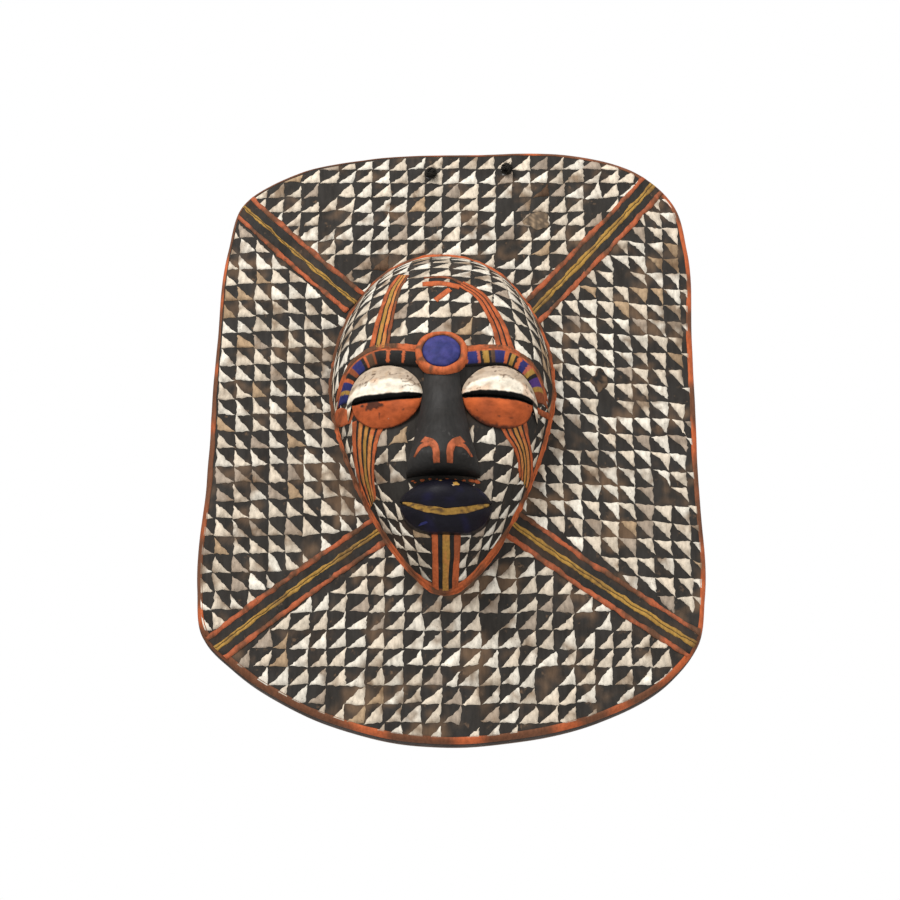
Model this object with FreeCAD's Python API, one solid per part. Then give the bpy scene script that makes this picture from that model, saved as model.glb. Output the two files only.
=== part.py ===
"""A carved and painted wooden panel mask: a flat board with a hollow face standing out of it, hung by a cord.

Millimetres. +X is the viewer's right, +Y points into the wall and +Z is up. The board's back lies in
the plane y = 0. The origin is the hang point: on the back, on the board's centre line, level with the
two cord holes. Each carved element is a solid of its own, cut to the surface that it stands on.
"""

import FreeCAD, Part
import math
import os

Vector = FreeCAD.Vector

# Board
BOARD_THICK = 16.0
BOARD_EDGE_ROUND = 5.0
# The outline, clockwise from the middle of the top edge, as (x, z)
BOARD_OUTLINE = [
    (20, 19), (98, 18), (150, 1), (177, -28), (185, -68), (184, -150), (182, -260), (181, -350),
    (175, -382), (155, -407), (103, -436), (50, -449), (0, -453), (-50, -448), (-103, -430),
    (-152, -400), (-175, -376), (-180, -344), (-178, -260), (-177, -150), (-173, -68), (-164, -29),
    (-119, 2), (-62, 15),
]

# Cord, its two holes and the shallow recess on the back that it lies in
HOLE_RADIUS = 3.0
HOLES = [(-15.0, -2.0), (45.0, 2.0)]
RECESS_DEPTH = 5.0
RECESS_SIZE = (86.0, 54.0)
RECESS_CENTRE = (15.0, -17.0)
RECESS_CORNER = 12.0
CORD_DIAMETER = 3.0
CORD_PLANE_Y = -2.5
CORD_SAG = [(-14.0, -15.0), (-5.0, -27.5), (8.5, -33.5), (24.0, -32.5), (37.0, -24.0), (43.5, -10.5)]
ARC_SHARE = 0.45
PIVOT_GAP = 0.3
KNOT_RADIUS = 5.4
KNOT_STAND = 3.4

# Face outline: an egg about its widest level, its chin a little to the right
FACE_X = -6.0
FACE_Z = -190.0
FACE_HALF_WIDTH = 83.0
FACE_RISE = 114.0
FACE_DROP = 156.0
CHIN_DRIFT = 2.5
TOP_POWER = 2.0
CHIN_POWER = 1.45
MIDLINE_SOFTNESS = 0.05

# The dome inside it: steep at the sides and the chin, easier over the forehead
DOME_HEIGHT = 60.0
DOME_POWER = 2.4
DOME_EDGE = 0.4
DOME_TOP_EDGE = 0.75
WALL = 10.0
CAVITY_HEIGHT = 49.0
# Eye sockets, forehead, muzzle and cheeks, as (rise, u, v, half width, half height), on both sides alike
MODELLING = [
    (-8.0, 41, -31, 26, 21), (6.0, 0, 52, 50, 42), (5.0, 0, -113, 36, 28), (-2.5, 40, -85, 16, 24),
]
GRID_STEP = 4.0
GRID_MARGIN = 8.0
BLOCK_DEPTH = 160.0

# Features, placed from the face's own centre line (u) and widest level (v)
EYE_U = 41.0
EYE_V = -31.0
EYE_HALF_WIDTH = 27.5
LID_RISE = 24.5
LID_DROP = 21.0
LID_BULGE = 13.0
LID_SHOULDER = (0.78, 0.62)
SLIT = 3.6
BOSS_V = 1.6
BOSS_RING_RADIUS = 18.8
BOSS_DISC_RADIUS = 13.6
BOSS_STAND = 6.0
BOSS_TILT = 10.0
BROW_HALF_WIDTH = 6.0
BROW_STAND = 3.6
BROW_LINE = [(16, -2), (30, -0.3), (43, 0.5), (53, -2.4), (61, -7), (67, -13.5), (72.5, -23)]
NOSE_TOP = -12.0
NOSE_BASE = -90.0
NOSE_ROOT_HALF = 12.5
NOSE_WING_HALF = 25.5
NOSE_FLARE = 1.5
NOSE_ROOT_STAND = 7.0
NOSE_TIP_STAND = 31.0
NOSE_RISE = 1.25
NOSE_SPREAD = 1.12
NOSE_SHOULDER = (2.1, 0.75)
NOSE_FOLLOW = 0.55
NOSE_WING = (5.0, 17, -80, 7, 11)
NOSE_UNDERCUT = (-4.0, 0, -96, 60, 6)
NOSTRIL_RADIUS = 5.0
NOSTRIL_U = 10.5
NOSTRIL_DEPTH = 0.45
LIP_TOP_V = -95.0
LIP_CORNER_V = -107.0
LIP_BASE_V = -130.0
MOUTH_U = 1.5
MOUTH_V = -118.5
MOUTH_HALF_WIDTH = 33.0
LIP_STAND = 20.0
LIP_SHOULDER = (0.72, 0.68)
LIP_GROOVE = (3.0, 3.5)
MOUTH_LINE_HALF = 1.5
MOUTH_SET_BACK = 0.6
LIP_MARGIN = 0.8


def egg(u, v, shrink=0.0):
    """0 on the face's axis and 1 on its outline, drawn in by shrink."""
    power = TOP_POWER if v > 0 else CHIN_POWER
    tall = (FACE_RISE if v > 0 else FACE_DROP) - shrink
    across = math.hypot(u / (FACE_HALF_WIDTH - shrink), MIDLINE_SOFTNESS) - MIDLINE_SOFTNESS
    across /= math.hypot(1, MIDLINE_SOFTNESS) - MIDLINE_SOFTNESS
    return (across ** power + (abs(v) / tall) ** power) ** (1 / power)


def egg_reach(direction, shrink=0.0):
    """How far the outline is from the axis in a direction of the (u, v) plane."""
    c, s = math.cos(direction), math.sin(direction)
    low, high = 0.0, 2 * FACE_DROP
    while high - low > 1e-6:
        middle = (low + high) / 2
        if egg(middle * c, middle * s, shrink) < 1:
            low = middle
        else:
            high = middle
    return low


def hill(u, v, rise, u0, v0, wide, tall):
    """A smooth swell at (u0, v0) and its mirror image, or a hollow where rise is negative."""
    return rise * math.exp(-((abs(u) - u0) / wide) ** 2 - ((v - v0) / tall) ** 2)


def dome(u, v, height, shrink=0.0):
    """A dome with a broad crown, falling past the outline in the same sweep."""
    rho = egg(u, v, shrink)
    share = 1 - rho ** DOME_POWER
    upward = max(0.0, v / FACE_RISE / max(rho, 0.05))
    edge = DOME_EDGE + DOME_TOP_EDGE * upward * upward
    return height * share * math.hypot(1, edge) / math.hypot(share, edge)


def modelling(u, v):
    """What the carver took off or left on the plain dome."""
    return sum(hill(u, v, *swell) for swell in MODELLING)


def face_height(u, v):
    """How far the face's surface stands out of the board's front."""
    return dome(u, v, DOME_HEIGHT) + modelling(u, v)


def cavity_height(u, v):
    """The same for the hollow behind the face."""
    return dome(u, v, CAVITY_HEIGHT, WALL) + modelling(u, v)


def lid_height(u, v):
    """The eyeball's swell, fullest along the slit."""
    across = (abs(u) - EYE_U) / EYE_HALF_WIDTH
    up = (v - EYE_V) / (LID_RISE if v > EYE_V else LID_DROP)
    left = max(0.0, 1.15 - across * across - up * up)
    return face_height(u, v) + LID_BULGE * left / 1.15 * (1.25 - 0.25 * left)


def brow_height(u, v):
    """The brow ridge, a low roll over the face's surface."""
    return face_height(u, v) + BROW_STAND


def nose_share(v):
    """0 at the nose's root and 1 at its base."""
    return min(1.0, max(0.0, (NOSE_TOP - v) / (NOSE_TOP - NOSE_BASE)))


def nose_half_width(share):
    """Half the nose's width, from its root to its wings."""
    return NOSE_ROOT_HALF + (NOSE_WING_HALF - NOSE_ROOT_HALF) * share ** NOSE_FLARE


def nose_height(u, v):
    """A ridge that rises and widens from the root to the tip, with a swell for each wing."""
    share = nose_share(v)
    ridge = NOSE_ROOT_STAND + (NOSE_TIP_STAND - NOSE_ROOT_STAND) * share ** NOSE_RISE
    across = abs(u) / (nose_half_width(share) * NOSE_SPREAD)
    crest = max(0.0, 1 - across ** NOSE_SHOULDER[0]) ** NOSE_SHOULDER[1]
    wings = hill(u, v, *NOSE_WING) + hill(u, v, *NOSE_UNDERCUT)
    return face_height(NOSE_FOLLOW * u, v) + ridge * crest + wings


def mouth_line(u):
    """The level of the mouth, which rises towards its corners."""
    return MOUTH_V + (LIP_CORNER_V - MOUTH_V) * ((u - MOUTH_U) / MOUTH_HALF_WIDTH) ** 2


def lip_height(u, v):
    """Both lips: one full almond with a groove along the mouth."""
    middle = (LIP_TOP_V + LIP_BASE_V) / 2
    across = (u - MOUTH_U) / (MOUTH_HALF_WIDTH * 1.1)
    up = (v - middle) / ((LIP_TOP_V - LIP_BASE_V) / 2 * 1.04)
    full = max(0.0, 1 - across * across - up * up) ** 0.5
    groove = LIP_GROOVE[0] * math.exp(-((v - mouth_line(u)) / LIP_GROOVE[1]) ** 2)
    return face_height(u, v) + LIP_STAND * full - groove * min(1.0, 1.6 * full)


def place(u, v, y=0.0):
    """A point of the face's own (u, v) in the part's frame."""
    drift = CHIN_DRIFT * max(0.0, -v) / FACE_DROP
    return Vector(FACE_X + drift + u, y, FACE_Z + v)


def block_behind(height, u_range, v_range, step=GRID_STEP, lift=0.0):
    """The solid behind the surface that height gives over a rectangle, lift further out."""
    columns = max(4, round((u_range[1] - u_range[0]) / step))
    rows = max(4, round((v_range[1] - v_range[0]) / step))
    grid = []
    for row in range(rows + 1):
        v = v_range[0] + (v_range[1] - v_range[0]) * row / rows
        line = []
        for column in range(columns + 1):
            u = u_range[0] + (u_range[1] - u_range[0]) * column / columns
            line.append(place(u, v, -(BOARD_THICK + height(u, v) + lift)))
        grid.append(line)
    surface = Part.BSplineSurface()
    surface.interpolate(grid)
    solid = surface.toShape().extrude(Vector(0, BLOCK_DEPTH, 0))
    if solid.Volume < 0:
        solid.reverse()
    return solid


def prism(wire, front, back):
    """The closed wire, drawn in the plane y = 0, as a solid from y = front to y = back."""
    face = Part.Face(wire)
    face.translate(Vector(0, front, 0))
    return face.extrude(Vector(0, back - front, 0))


def largest(shape):
    """The biggest solid of a shape, without the slivers that a cut leaves."""
    return max(shape.Solids, key=lambda solid: solid.Volume)


def smooth_loop(points):
    """A closed smooth curve through points of the plane y = 0, as a wire."""
    curve = Part.BSplineCurve()
    curve.interpolate(points, PeriodicFlag=True)
    return Part.Wire(curve.toShape())


def egg_wire(shrink=0.0, count=44):
    """The face's outline."""
    points = []
    for k in range(count):
        turn = 2 * math.pi * k / count
        reach = egg_reach(turn, shrink)
        points.append(place(reach * math.cos(turn), reach * math.sin(turn)))
    return smooth_loop(points)


def half_almond(centre_u, centre_v, half_width, tall):
    """A closed wire: a chord with a round side, above it for a positive tall, or else below it."""
    start = place(centre_u - half_width, centre_v)
    end = place(centre_u + half_width, centre_v)
    out, up = LID_SHOULDER[0] * half_width, LID_SHOULDER[1] * tall
    curve = Part.BSplineCurve()
    curve.interpolate([
        start,
        place(centre_u - out, centre_v + up),
        place(centre_u, centre_v + tall),
        place(centre_u + out, centre_v + up),
        end,
    ])
    return Part.Wire([curve.toShape(), Part.makeLine(end, start)])


def board():
    """The board, with its openings for the face and the cord."""
    outline = smooth_loop([Vector(x, 0, z) for x, z in BOARD_OUTLINE])
    body = prism(outline, -BOARD_THICK, 0)
    front = [e for e in body.Edges if e.BoundBox.YMax < -BOARD_THICK + 0.01]
    body = body.makeFillet(BOARD_EDGE_ROUND, front)
    body = body.cut(prism(egg_wire(), -BOARD_THICK - 1, 1))
    for x, z in HOLES:
        start = Vector(x, -BOARD_THICK - 1, z)
        body = body.cut(Part.makeCylinder(HOLE_RADIUS, BOARD_THICK + 2, start, Vector(0, 1, 0)))
    wide, tall = RECESS_SIZE
    recess = Part.makeBox(
        wide, RECESS_DEPTH + 1, tall,
        Vector(RECESS_CENTRE[0] - wide / 2, -RECESS_DEPTH, RECESS_CENTRE[1] - tall / 2),
    )
    corners = [e for e in recess.Edges if e.BoundBox.YLength > RECESS_DEPTH]
    return body.cut(recess.makeFillet(RECESS_CORNER, corners))


def face_ranges():
    """The rectangle that the face's surface is drawn over."""
    wide = FACE_HALF_WIDTH + GRID_MARGIN
    return (-wide, wide), (-FACE_DROP - GRID_MARGIN, FACE_RISE + GRID_MARGIN)


def face_shell(outer_block):
    """The hollow face, from its surface to the board's back."""
    outer = prism(egg_wire(), -BLOCK_DEPTH, 0).common(outer_block)
    u_range, v_range = face_ranges()
    hollow = prism(egg_wire(WALL), -BLOCK_DEPTH, 1).common(block_behind(cavity_height, u_range, v_range))
    return outer.cut(hollow)


def eyelid(side, tall, outer_block):
    """One lid: a swelling half almond that stands on the face, cut back from the slit."""
    reach = EYE_HALF_WIDTH + GRID_MARGIN
    u_range = (side * EYE_U - reach, side * EYE_U + reach)
    v_range = (EYE_V - LID_DROP - GRID_MARGIN, EYE_V + LID_RISE + GRID_MARGIN)
    block = block_behind(lid_height, u_range, v_range, step=3.0)
    wire = half_almond(side * EYE_U, EYE_V, EYE_HALF_WIDTH, tall)
    lid = prism(wire, -BLOCK_DEPTH, -BOARD_THICK).common(block).cut(outer_block)
    corner = place(side * EYE_U - EYE_HALF_WIDTH, EYE_V - SLIT / 2, -BLOCK_DEPTH)
    return largest(lid.cut(Part.makeBox(2 * EYE_HALF_WIDTH, BLOCK_DEPTH, SLIT, corner)))


def ribbon_wire(line, half_width, side):
    """A closed wire around a band that follows line, for the side of the face given."""
    upper, lower = [], []
    for k, (u, v) in enumerate(line):
        before, after = line[max(0, k - 1)], line[min(len(line) - 1, k + 1)]
        du, dv = after[0] - before[0], after[1] - before[1]
        length = math.hypot(du, dv)
        upper.append(place(side * (u - dv / length * half_width), v + du / length * half_width))
        lower.append(place(side * (u + dv / length * half_width), v - du / length * half_width))
    top, bottom = Part.BSplineCurve(), Part.BSplineCurve()
    top.interpolate(upper)
    bottom.interpolate(lower)
    ends = Part.makeLine(upper[-1], lower[-1]), Part.makeLine(lower[0], upper[0])
    return Part.Wire([top.toShape(), ends[0], bottom.toShape(), ends[1]])


def brow(side, outer_block, lids, boss):
    """One brow ridge, between the boss and the face's edge."""
    u_range, v_range = face_ranges()
    block = block_behind(brow_height, u_range, v_range)
    ridge = prism(ribbon_wire(BROW_LINE, BROW_HALF_WIDTH, side), -BLOCK_DEPTH, -BOARD_THICK).common(block)
    return ridge.cut(outer_block).cut(lids).cut(boss)


def boss_axis():
    """Where the boss stands, and which way it faces."""
    tilt = math.radians(BOSS_TILT)
    out = Vector(0, -math.cos(tilt), math.sin(tilt))
    return place(0, BOSS_V, -(BOARD_THICK + face_height(0, BOSS_V))), out


def boss_disc():
    """The round boss between the brows, crowned, with a rounded edge."""
    root, out = boss_axis()
    disc = Part.makeCylinder(BOSS_DISC_RADIUS, 2 * BOSS_STAND, root - out * BOSS_STAND, out)
    crown = Part.makeSphere(5 * BOSS_DISC_RADIUS, root + out * (BOSS_STAND + 0.8 - 5 * BOSS_DISC_RADIUS))
    return disc.common(crown)


def boss_ring():
    """The ring around the boss."""
    root, out = boss_axis()
    ring = Part.makeCylinder(BOSS_RING_RADIUS, 2 * BOSS_STAND - 0.8, root - out * BOSS_STAND, out)
    rim = [e for e in ring.Edges if (e.CenterOfMass - root).dot(out) > 0 and e.Closed]
    ring = ring.makeFillet(2.2, rim)
    return ring.cut(Part.makeCylinder(BOSS_DISC_RADIUS, 4 * BOSS_STAND, root - out * 2 * BOSS_STAND, out))


def nose_wire():
    """The nose seen from the front: narrow at the root, flaring to the wings, square at the base."""
    right = []
    for share in (0.0, 0.25, 0.5, 0.72, 0.88, 1.0):
        right.append((nose_half_width(share), NOSE_TOP + (NOSE_BASE - NOSE_TOP) * share))
    right[0] = (NOSE_ROOT_HALF + 2.0, NOSE_TOP)
    left = [(-u, v) for u, v in reversed(right)]
    sides = []
    for line in (right, left):
        curve = Part.BSplineCurve()
        curve.interpolate([place(u, v) for u, v in line])
        sides.append(curve.toShape())
    base = Part.makeLine(place(*right[-1]), place(*left[0]))
    top = Part.makeLine(place(*left[-1]), place(*right[0]))
    return Part.Wire([sides[0], base, sides[1], top])


def nose(outer_block, others):
    """The nose, standing on the face, with a pit for each nostril."""
    reach = NOSE_WING_HALF + GRID_MARGIN
    v_range = (NOSE_BASE - GRID_MARGIN, NOSE_TOP + GRID_MARGIN)
    block = block_behind(nose_height, (-reach, reach), v_range, step=2.5)
    solid = prism(nose_wire(), -BLOCK_DEPTH, -BOARD_THICK).common(block).cut(outer_block).cut(others)
    for side in (-1, 1):
        depth = BOARD_THICK + face_height(0, NOSE_BASE) + NOSTRIL_DEPTH * NOSE_TIP_STAND
        solid = solid.cut(Part.makeSphere(NOSTRIL_RADIUS, place(side * NOSTRIL_U, NOSE_BASE, -depth)))
    return largest(solid)


def lip_block():
    """The solid behind both lips' surface."""
    u_range = (MOUTH_U - MOUTH_HALF_WIDTH - 2.0, MOUTH_U + MOUTH_HALF_WIDTH + 2.0)
    return block_behind(lip_height, u_range, (LIP_BASE_V - 2.0, LIP_TOP_V + 2.0), step=2.0)


def mouth_curve(offset, half):
    """The mouth line's points, moved up by offset."""
    points = []
    for share in (-1.0, -0.5, 0.0, 0.5, 1.0):
        u = MOUTH_U + share * half
        points.append(place(u, mouth_line(u) + offset))
    return points


def lip(sign, block, outer_block):
    """One lip: above the mouth line for sign 1, below it for sign -1."""
    half = MOUTH_HALF_WIDTH - LIP_MARGIN
    inner = mouth_curve(sign * MOUTH_LINE_HALF, half)
    level = (LIP_TOP_V if sign > 0 else LIP_BASE_V) - sign * LIP_MARGIN
    shoulder = LIP_CORNER_V + LIP_SHOULDER[1] * (level - LIP_CORNER_V)
    left, right = MOUTH_U - LIP_SHOULDER[0] * half, MOUTH_U + LIP_SHOULDER[0] * half
    outer = [inner[0], place(left, shoulder), place(MOUTH_U, level), place(right, shoulder), inner[-1]]
    edges = []
    for points in (inner, outer):
        curve = Part.BSplineCurve()
        curve.interpolate(points)
        edges.append(curve.toShape())
    return prism(Part.Wire(edges), -BLOCK_DEPTH, -BOARD_THICK).common(block).cut(outer_block)


def mouth_strip(block, outer_block, lips):
    """The painted strip between the lips, a little behind their crests."""
    half = MOUTH_HALF_WIDTH - 3 * LIP_MARGIN
    upper, lower = mouth_curve(MOUTH_LINE_HALF, half), mouth_curve(-MOUTH_LINE_HALF, half)
    top, bottom = Part.BSplineCurve(), Part.BSplineCurve()
    top.interpolate(upper)
    bottom.interpolate(lower)
    ends = Part.makeLine(upper[-1], lower[-1]), Part.makeLine(lower[0], upper[0])
    wire = Part.Wire([top.toShape(), ends[0], bottom.toShape(), ends[1]])
    recessed = block.copy()
    recessed.translate(Vector(0, MOUTH_SET_BACK, 0))
    strip = prism(wire, -BLOCK_DEPTH, -BOARD_THICK).common(recessed).cut(outer_block)
    return largest(strip.cut(lips))


def cord_route():
    """The hanging cord's points, from one hole to the other, in the recess's plane."""
    points = [HOLES[0], *CORD_SAG, HOLES[1]]
    return [Vector(x, CORD_PLANE_Y, z) for x, z in points]


def rounded_path(points):
    """Straight runs joined by tangent arcs, as large as the runs allow, and the arcs' radii."""
    edges, radii, start = [], [], points[0]
    for before, corner, after in zip(points, points[1:], points[2:]):
        back, on = (before - corner), (after - corner)
        reach = ARC_SHARE * min(back.Length, on.Length)
        back.normalize()
        on.normalize()
        turn = math.pi - math.acos(max(-1.0, min(1.0, back.dot(on))))
        radius = reach / math.tan(turn / 2)
        inward = back + on
        inward.normalize()
        centre = corner + inward * math.hypot(radius, reach)
        middle = centre - inward * radius
        first, last = corner + back * reach, corner + on * reach
        edges.append(Part.LineSegment(start, first).toShape())
        edges.append(Part.Arc(first, middle, last).toShape())
        radii.append(radius)
        start = last
    edges.append(Part.LineSegment(start, points[-1]).toShape())
    return Part.Wire(edges), radii


def hanging_cord():
    """The loop of cord on the back, with a round end at each hole, where it turns."""
    route = cord_route()
    path, radii = rounded_path(route)
    section = Part.Wire(Part.makeCircle(CORD_DIAMETER / 2, route[0], route[1] - route[0]))
    tube = path.makePipeShell([section], True, False)
    area = math.pi * CORD_DIAMETER ** 2 / 4
    print("cord length", round(path.Length, 1), "radii", [round(r, 1) for r in radii],
          "volume over section times length", round(tube.Volume / (area * path.Length), 4))
    return tube


def knot(hole):
    """A knot that bears on the board's front, and the short end of cord inside the hole."""
    x, z = hole
    ball = Part.makeSphere(KNOT_RADIUS, Vector(x, -BOARD_THICK - KNOT_STAND, z))
    front = Part.makeBox(40, 40, 40, Vector(x - 20, -BOARD_THICK - 40, z - 20))
    end = CORD_PLANE_Y - CORD_DIAMETER / 2 - PIVOT_GAP
    start = Vector(x, -BOARD_THICK - 1, z)
    stub = Part.makeCylinder(CORD_DIAMETER / 2, end + BOARD_THICK + 1, start, Vector(0, 1, 0))
    return ball.common(front).fuse(stub).removeSplitter()


def build():
    """Every solid by its node name."""
    u_range, v_range = face_ranges()
    outer_block = block_behind(face_height, u_range, v_range)
    parts = {"board": board(), "face_shell": face_shell(outer_block)}
    parts["boss_disc"] = boss_disc().cut(outer_block)
    parts["boss_ring"] = boss_ring().cut(outer_block)
    boss = parts["boss_disc"].fuse(parts["boss_ring"])
    for side, name in ((-1, "left"), (1, "right")):
        parts[f"upper_eyelid_{name}"] = eyelid(side, LID_RISE, outer_block)
        parts[f"lower_eyelid_{name}"] = eyelid(side, -LID_DROP, outer_block)
    lids = [shape for name, shape in parts.items() if "eyelid" in name]
    lids = lids[0].multiFuse(lids[1:])
    parts["nose"] = nose(outer_block, boss.fuse(lids))
    for side, name in ((-1, "left"), (1, "right")):
        parts[f"brow_{name}"] = brow(side, outer_block, lids, boss.fuse(parts["nose"]))
    block = lip_block()
    parts["upper_lip"] = lip(1, block, outer_block).cut(parts["nose"])
    parts["lower_lip"] = lip(-1, block, outer_block)
    lips = parts["upper_lip"].fuse(parts["lower_lip"])
    parts["mouth_strip"] = mouth_strip(block, outer_block, lips)
    parts["hanging_cord"] = hanging_cord()
    for hole, name in zip(HOLES, ("left", "right")):
        parts[f"cord_knot_{name}"] = knot(hole)
    return parts


def main():
    os.makedirs("parts", exist_ok=True)
    for name, shape in build().items():
        size = round(shape.Volume / 1000, 2)
        print(name, "valid", shape.isValid(), "solids", len(shape.Solids), "cm3", size)
        shape.exportStep(f"parts/{name}.step")


main()
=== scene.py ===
import math
import random

import bmesh
import bpy
import numpy as np
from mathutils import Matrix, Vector, noise
from mathutils.geometry import delaunay_2d_cdt


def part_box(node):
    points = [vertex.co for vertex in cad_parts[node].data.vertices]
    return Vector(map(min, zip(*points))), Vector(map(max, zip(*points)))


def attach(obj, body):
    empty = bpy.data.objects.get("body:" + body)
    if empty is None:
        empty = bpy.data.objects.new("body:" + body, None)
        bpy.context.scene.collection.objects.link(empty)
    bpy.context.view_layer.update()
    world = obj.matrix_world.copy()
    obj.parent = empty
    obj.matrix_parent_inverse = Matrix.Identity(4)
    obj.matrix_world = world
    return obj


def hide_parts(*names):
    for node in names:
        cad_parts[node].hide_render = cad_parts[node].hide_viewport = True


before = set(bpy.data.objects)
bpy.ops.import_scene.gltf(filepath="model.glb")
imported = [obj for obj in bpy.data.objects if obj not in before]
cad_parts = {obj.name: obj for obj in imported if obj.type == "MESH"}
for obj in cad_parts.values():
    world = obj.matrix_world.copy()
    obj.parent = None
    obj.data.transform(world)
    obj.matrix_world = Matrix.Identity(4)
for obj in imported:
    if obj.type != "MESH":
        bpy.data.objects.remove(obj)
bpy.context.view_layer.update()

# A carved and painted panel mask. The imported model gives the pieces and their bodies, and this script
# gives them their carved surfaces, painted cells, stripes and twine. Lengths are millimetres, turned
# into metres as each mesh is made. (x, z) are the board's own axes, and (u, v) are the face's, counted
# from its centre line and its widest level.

MM = 0.001

# Board
BOARD_LOW, BOARD_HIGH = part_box("board")
BOARD_THICK = (BOARD_HIGH[1] - BOARD_LOW[1]) / MM
EDGE_ROUND = 5.0
BOARD_OUTLINE = [
    (20, 19), (98, 18), (150, 1), (177, -28), (185, -68), (184, -150), (182, -260), (181, -350),
    (175, -382), (155, -407), (103, -436), (50, -449), (0, -453), (-50, -448), (-103, -430),
    (-152, -400), (-175, -376), (-180, -344), (-178, -260), (-177, -150), (-173, -68), (-164, -29),
    (-119, 2), (-62, 15),
]
HOLES = [(-15.0, -2.0), (45.0, 2.0)]
HOLE_RADIUS = 3.0
RECESS_DEPTH = 5.0
RECESS_SIZE = (86.0, 54.0)
RECESS_CENTRE = (15.0, -17.0)
RECESS_CORNER = 12.0

# Cord
CORD_DIAMETER = 3.0
CORD_Y = -2.5
CORD_ROUTE = [
    (-15.0, -2.0), (-14.0, -15.0), (-5.0, -27.5), (8.5, -33.5), (24.0, -32.5), (37.0, -24.0),
    (43.5, -10.5), (45.0, 2.0),
]
KNOT_RADIUS = 5.4
KNOT_STAND = 3.4

# Face
FACE_X, FACE_Z = -6.0, -190.0
FACE_HALF_WIDTH, FACE_RISE, FACE_DROP = 83.0, 114.0, 156.0
CHIN_DRIFT = 2.5
TOP_POWER, CHIN_POWER = 2.0, 1.45
MIDLINE_SOFTNESS = 0.05
DOME_HEIGHT, DOME_POWER = 60.0, 2.4
DOME_EDGE, DOME_TOP_EDGE = 0.4, 0.75
WALL, CAVITY_HEIGHT = 10.0, 49.0
# Eye sockets, forehead, muzzle and cheeks, as (rise, u, v, half width, half height), on both sides alike
MODELLING = [
    (-8.0, 41, -31, 26, 21), (6.0, 0, 52, 50, 42), (5.0, 0, -113, 36, 28), (-2.5, 40, -85, 16, 24),
]

# Features
EYE_U, EYE_V, EYE_HALF_WIDTH = 41.0, -31.0, 27.5
LID_RISE, LID_DROP, LID_BULGE = 24.5, 21.0, 13.0
BOSS_V, BOSS_RING_RADIUS, BOSS_DISC_RADIUS = 1.6, 18.8, 13.6
BOSS_TILT = math.radians(10.0)
BROW_HALF_WIDTH, BROW_STAND = 6.0, 3.6
BROW_LINE = [(16, -2), (30, -0.3), (43, 0.5), (53, -2.4), (61, -7), (67, -13.5), (72.5, -23)]
NOSE_TOP, NOSE_BASE = -12.0, -90.0
NOSE_ROOT_HALF, NOSE_WING_HALF, NOSE_FLARE = 12.5, 25.5, 1.5
NOSE_ROOT_STAND, NOSE_TIP_STAND, NOSE_RISE = 7.0, 31.0, 1.25
NOSE_SPREAD, NOSE_FOLLOW = 1.12, 0.55
NOSE_ROUND, NOSE_UNDERCUT = 9.0, 0.62
NOSE_WING = (5.0, 17, -80, 7, 11)
NOSE_CREASE = (-1.6, 10.5, -78, 2.6, 12)
LIP_TOP_V, LIP_CORNER_V, LIP_BASE_V = -95.0, -105.0, -130.0
MOUTH_U, MOUTH_V, MOUTH_HALF_WIDTH, MOUTH_LINE_HALF = 1.5, -120.0, 33.0, 1.5
LIP_STAND, LIP_GROOVE_DEPTH, LIP_GROOVE_WIDTH = 20.0, 3.0, 3.5
# The slit between the lids on the left eye and on the right: rise to the nose, bulge, rise of the outer end
SLIT_RISE, SLIT_BULGE, SLIT_OUTER = (1.2, 0.6), (-1.6, 0.9), (2.4, 1.9)

# Paint colours, linear
BLACK = (0.023, 0.0205, 0.018)
SOOT = (0.013, 0.012, 0.011)
# Near-black for the eye slits: their black paint darkened further as painted shade
SLIT_SHADE_BLACK = (0.003, 0.003, 0.003)
UMBER = (0.075, 0.042, 0.024)
SMOKED = (0.115, 0.072, 0.043)
EDGE_BROWN = (0.030, 0.020, 0.015)
RUST = (0.190, 0.052, 0.020)
ORANGE = (0.385, 0.092, 0.031)
DULL_ORANGE = (0.330, 0.086, 0.036)
LID_RUST, LID_ORANGE = (0.250, 0.056, 0.019), (0.430, 0.092, 0.025)
# The upper lid's cream below its crease, and above it greyer paint darkened as painted shade of the facet
# that turns upwards
LID_WHITE, LID_GREY_SHADED = (0.770, 0.700, 0.580), (0.350, 0.272, 0.200)
AMBER = (0.440, 0.175, 0.050)
MUSTARD = (0.300, 0.170, 0.038)
CREAM = (0.600, 0.520, 0.415)
CHALK = (0.680, 0.630, 0.540)
TAN = (0.370, 0.260, 0.160)
STONE = (0.340, 0.275, 0.215)
BLUE = (0.020, 0.023, 0.104)
PALE_BLUE = (0.038, 0.036, 0.150)
VIOLET = (0.060, 0.028, 0.135)
NAVY, NAVY_BLUE = (0.0050, 0.0045, 0.0090), (0.0080, 0.0070, 0.0340)
NOSE_BLACK, NOSE_GREY = (0.017, 0.016, 0.015), (0.031, 0.029, 0.028)
PINK = (0.350, 0.090, 0.055)

# How finely the rings of the board and the face are divided
BOARD_AROUND = 640
FACE_AROUND = 400

# Studio: the lens in millimetres, the climb in degrees, the rest in metres
CAMERA_LENS, CAMERA_DISTANCE, CAMERA_CLIMB = 60.0, 1.103, 22.0
CAMERA_TARGET = (0.0, -0.016, -0.2372)
FLOOR_REACH, FLOOR_LEVEL = 6.0, -1.35
LIGHT_TARGET = (0.0, -0.05, -0.22)


# ---------------------------------------------------------------- numbers and noise

def rough(x, y, z, size, seed=0.0):
    """Smooth noise from -1 to 1 with features about size across, for arrays or numbers."""
    xs, ys, zs = np.broadcast_arrays(np.asarray(x, float), np.asarray(y, float), np.asarray(z, float))
    flat = [
        noise.noise(Vector((a / size + seed, b / size - seed, c / size + 1.7 * seed)))
        for a, b, c in zip(xs.ravel(), ys.ravel(), zs.ravel())
    ]
    return np.array(flat).reshape(xs.shape)


def blend_colour(a, b, share):
    """Colour a where share is 0 and b where it is 1, for one share or an array of them."""
    share = np.clip(np.asarray(share, float), 0, 1)[..., None]
    return np.asarray(a) * (1 - share) + np.asarray(b) * share


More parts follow.
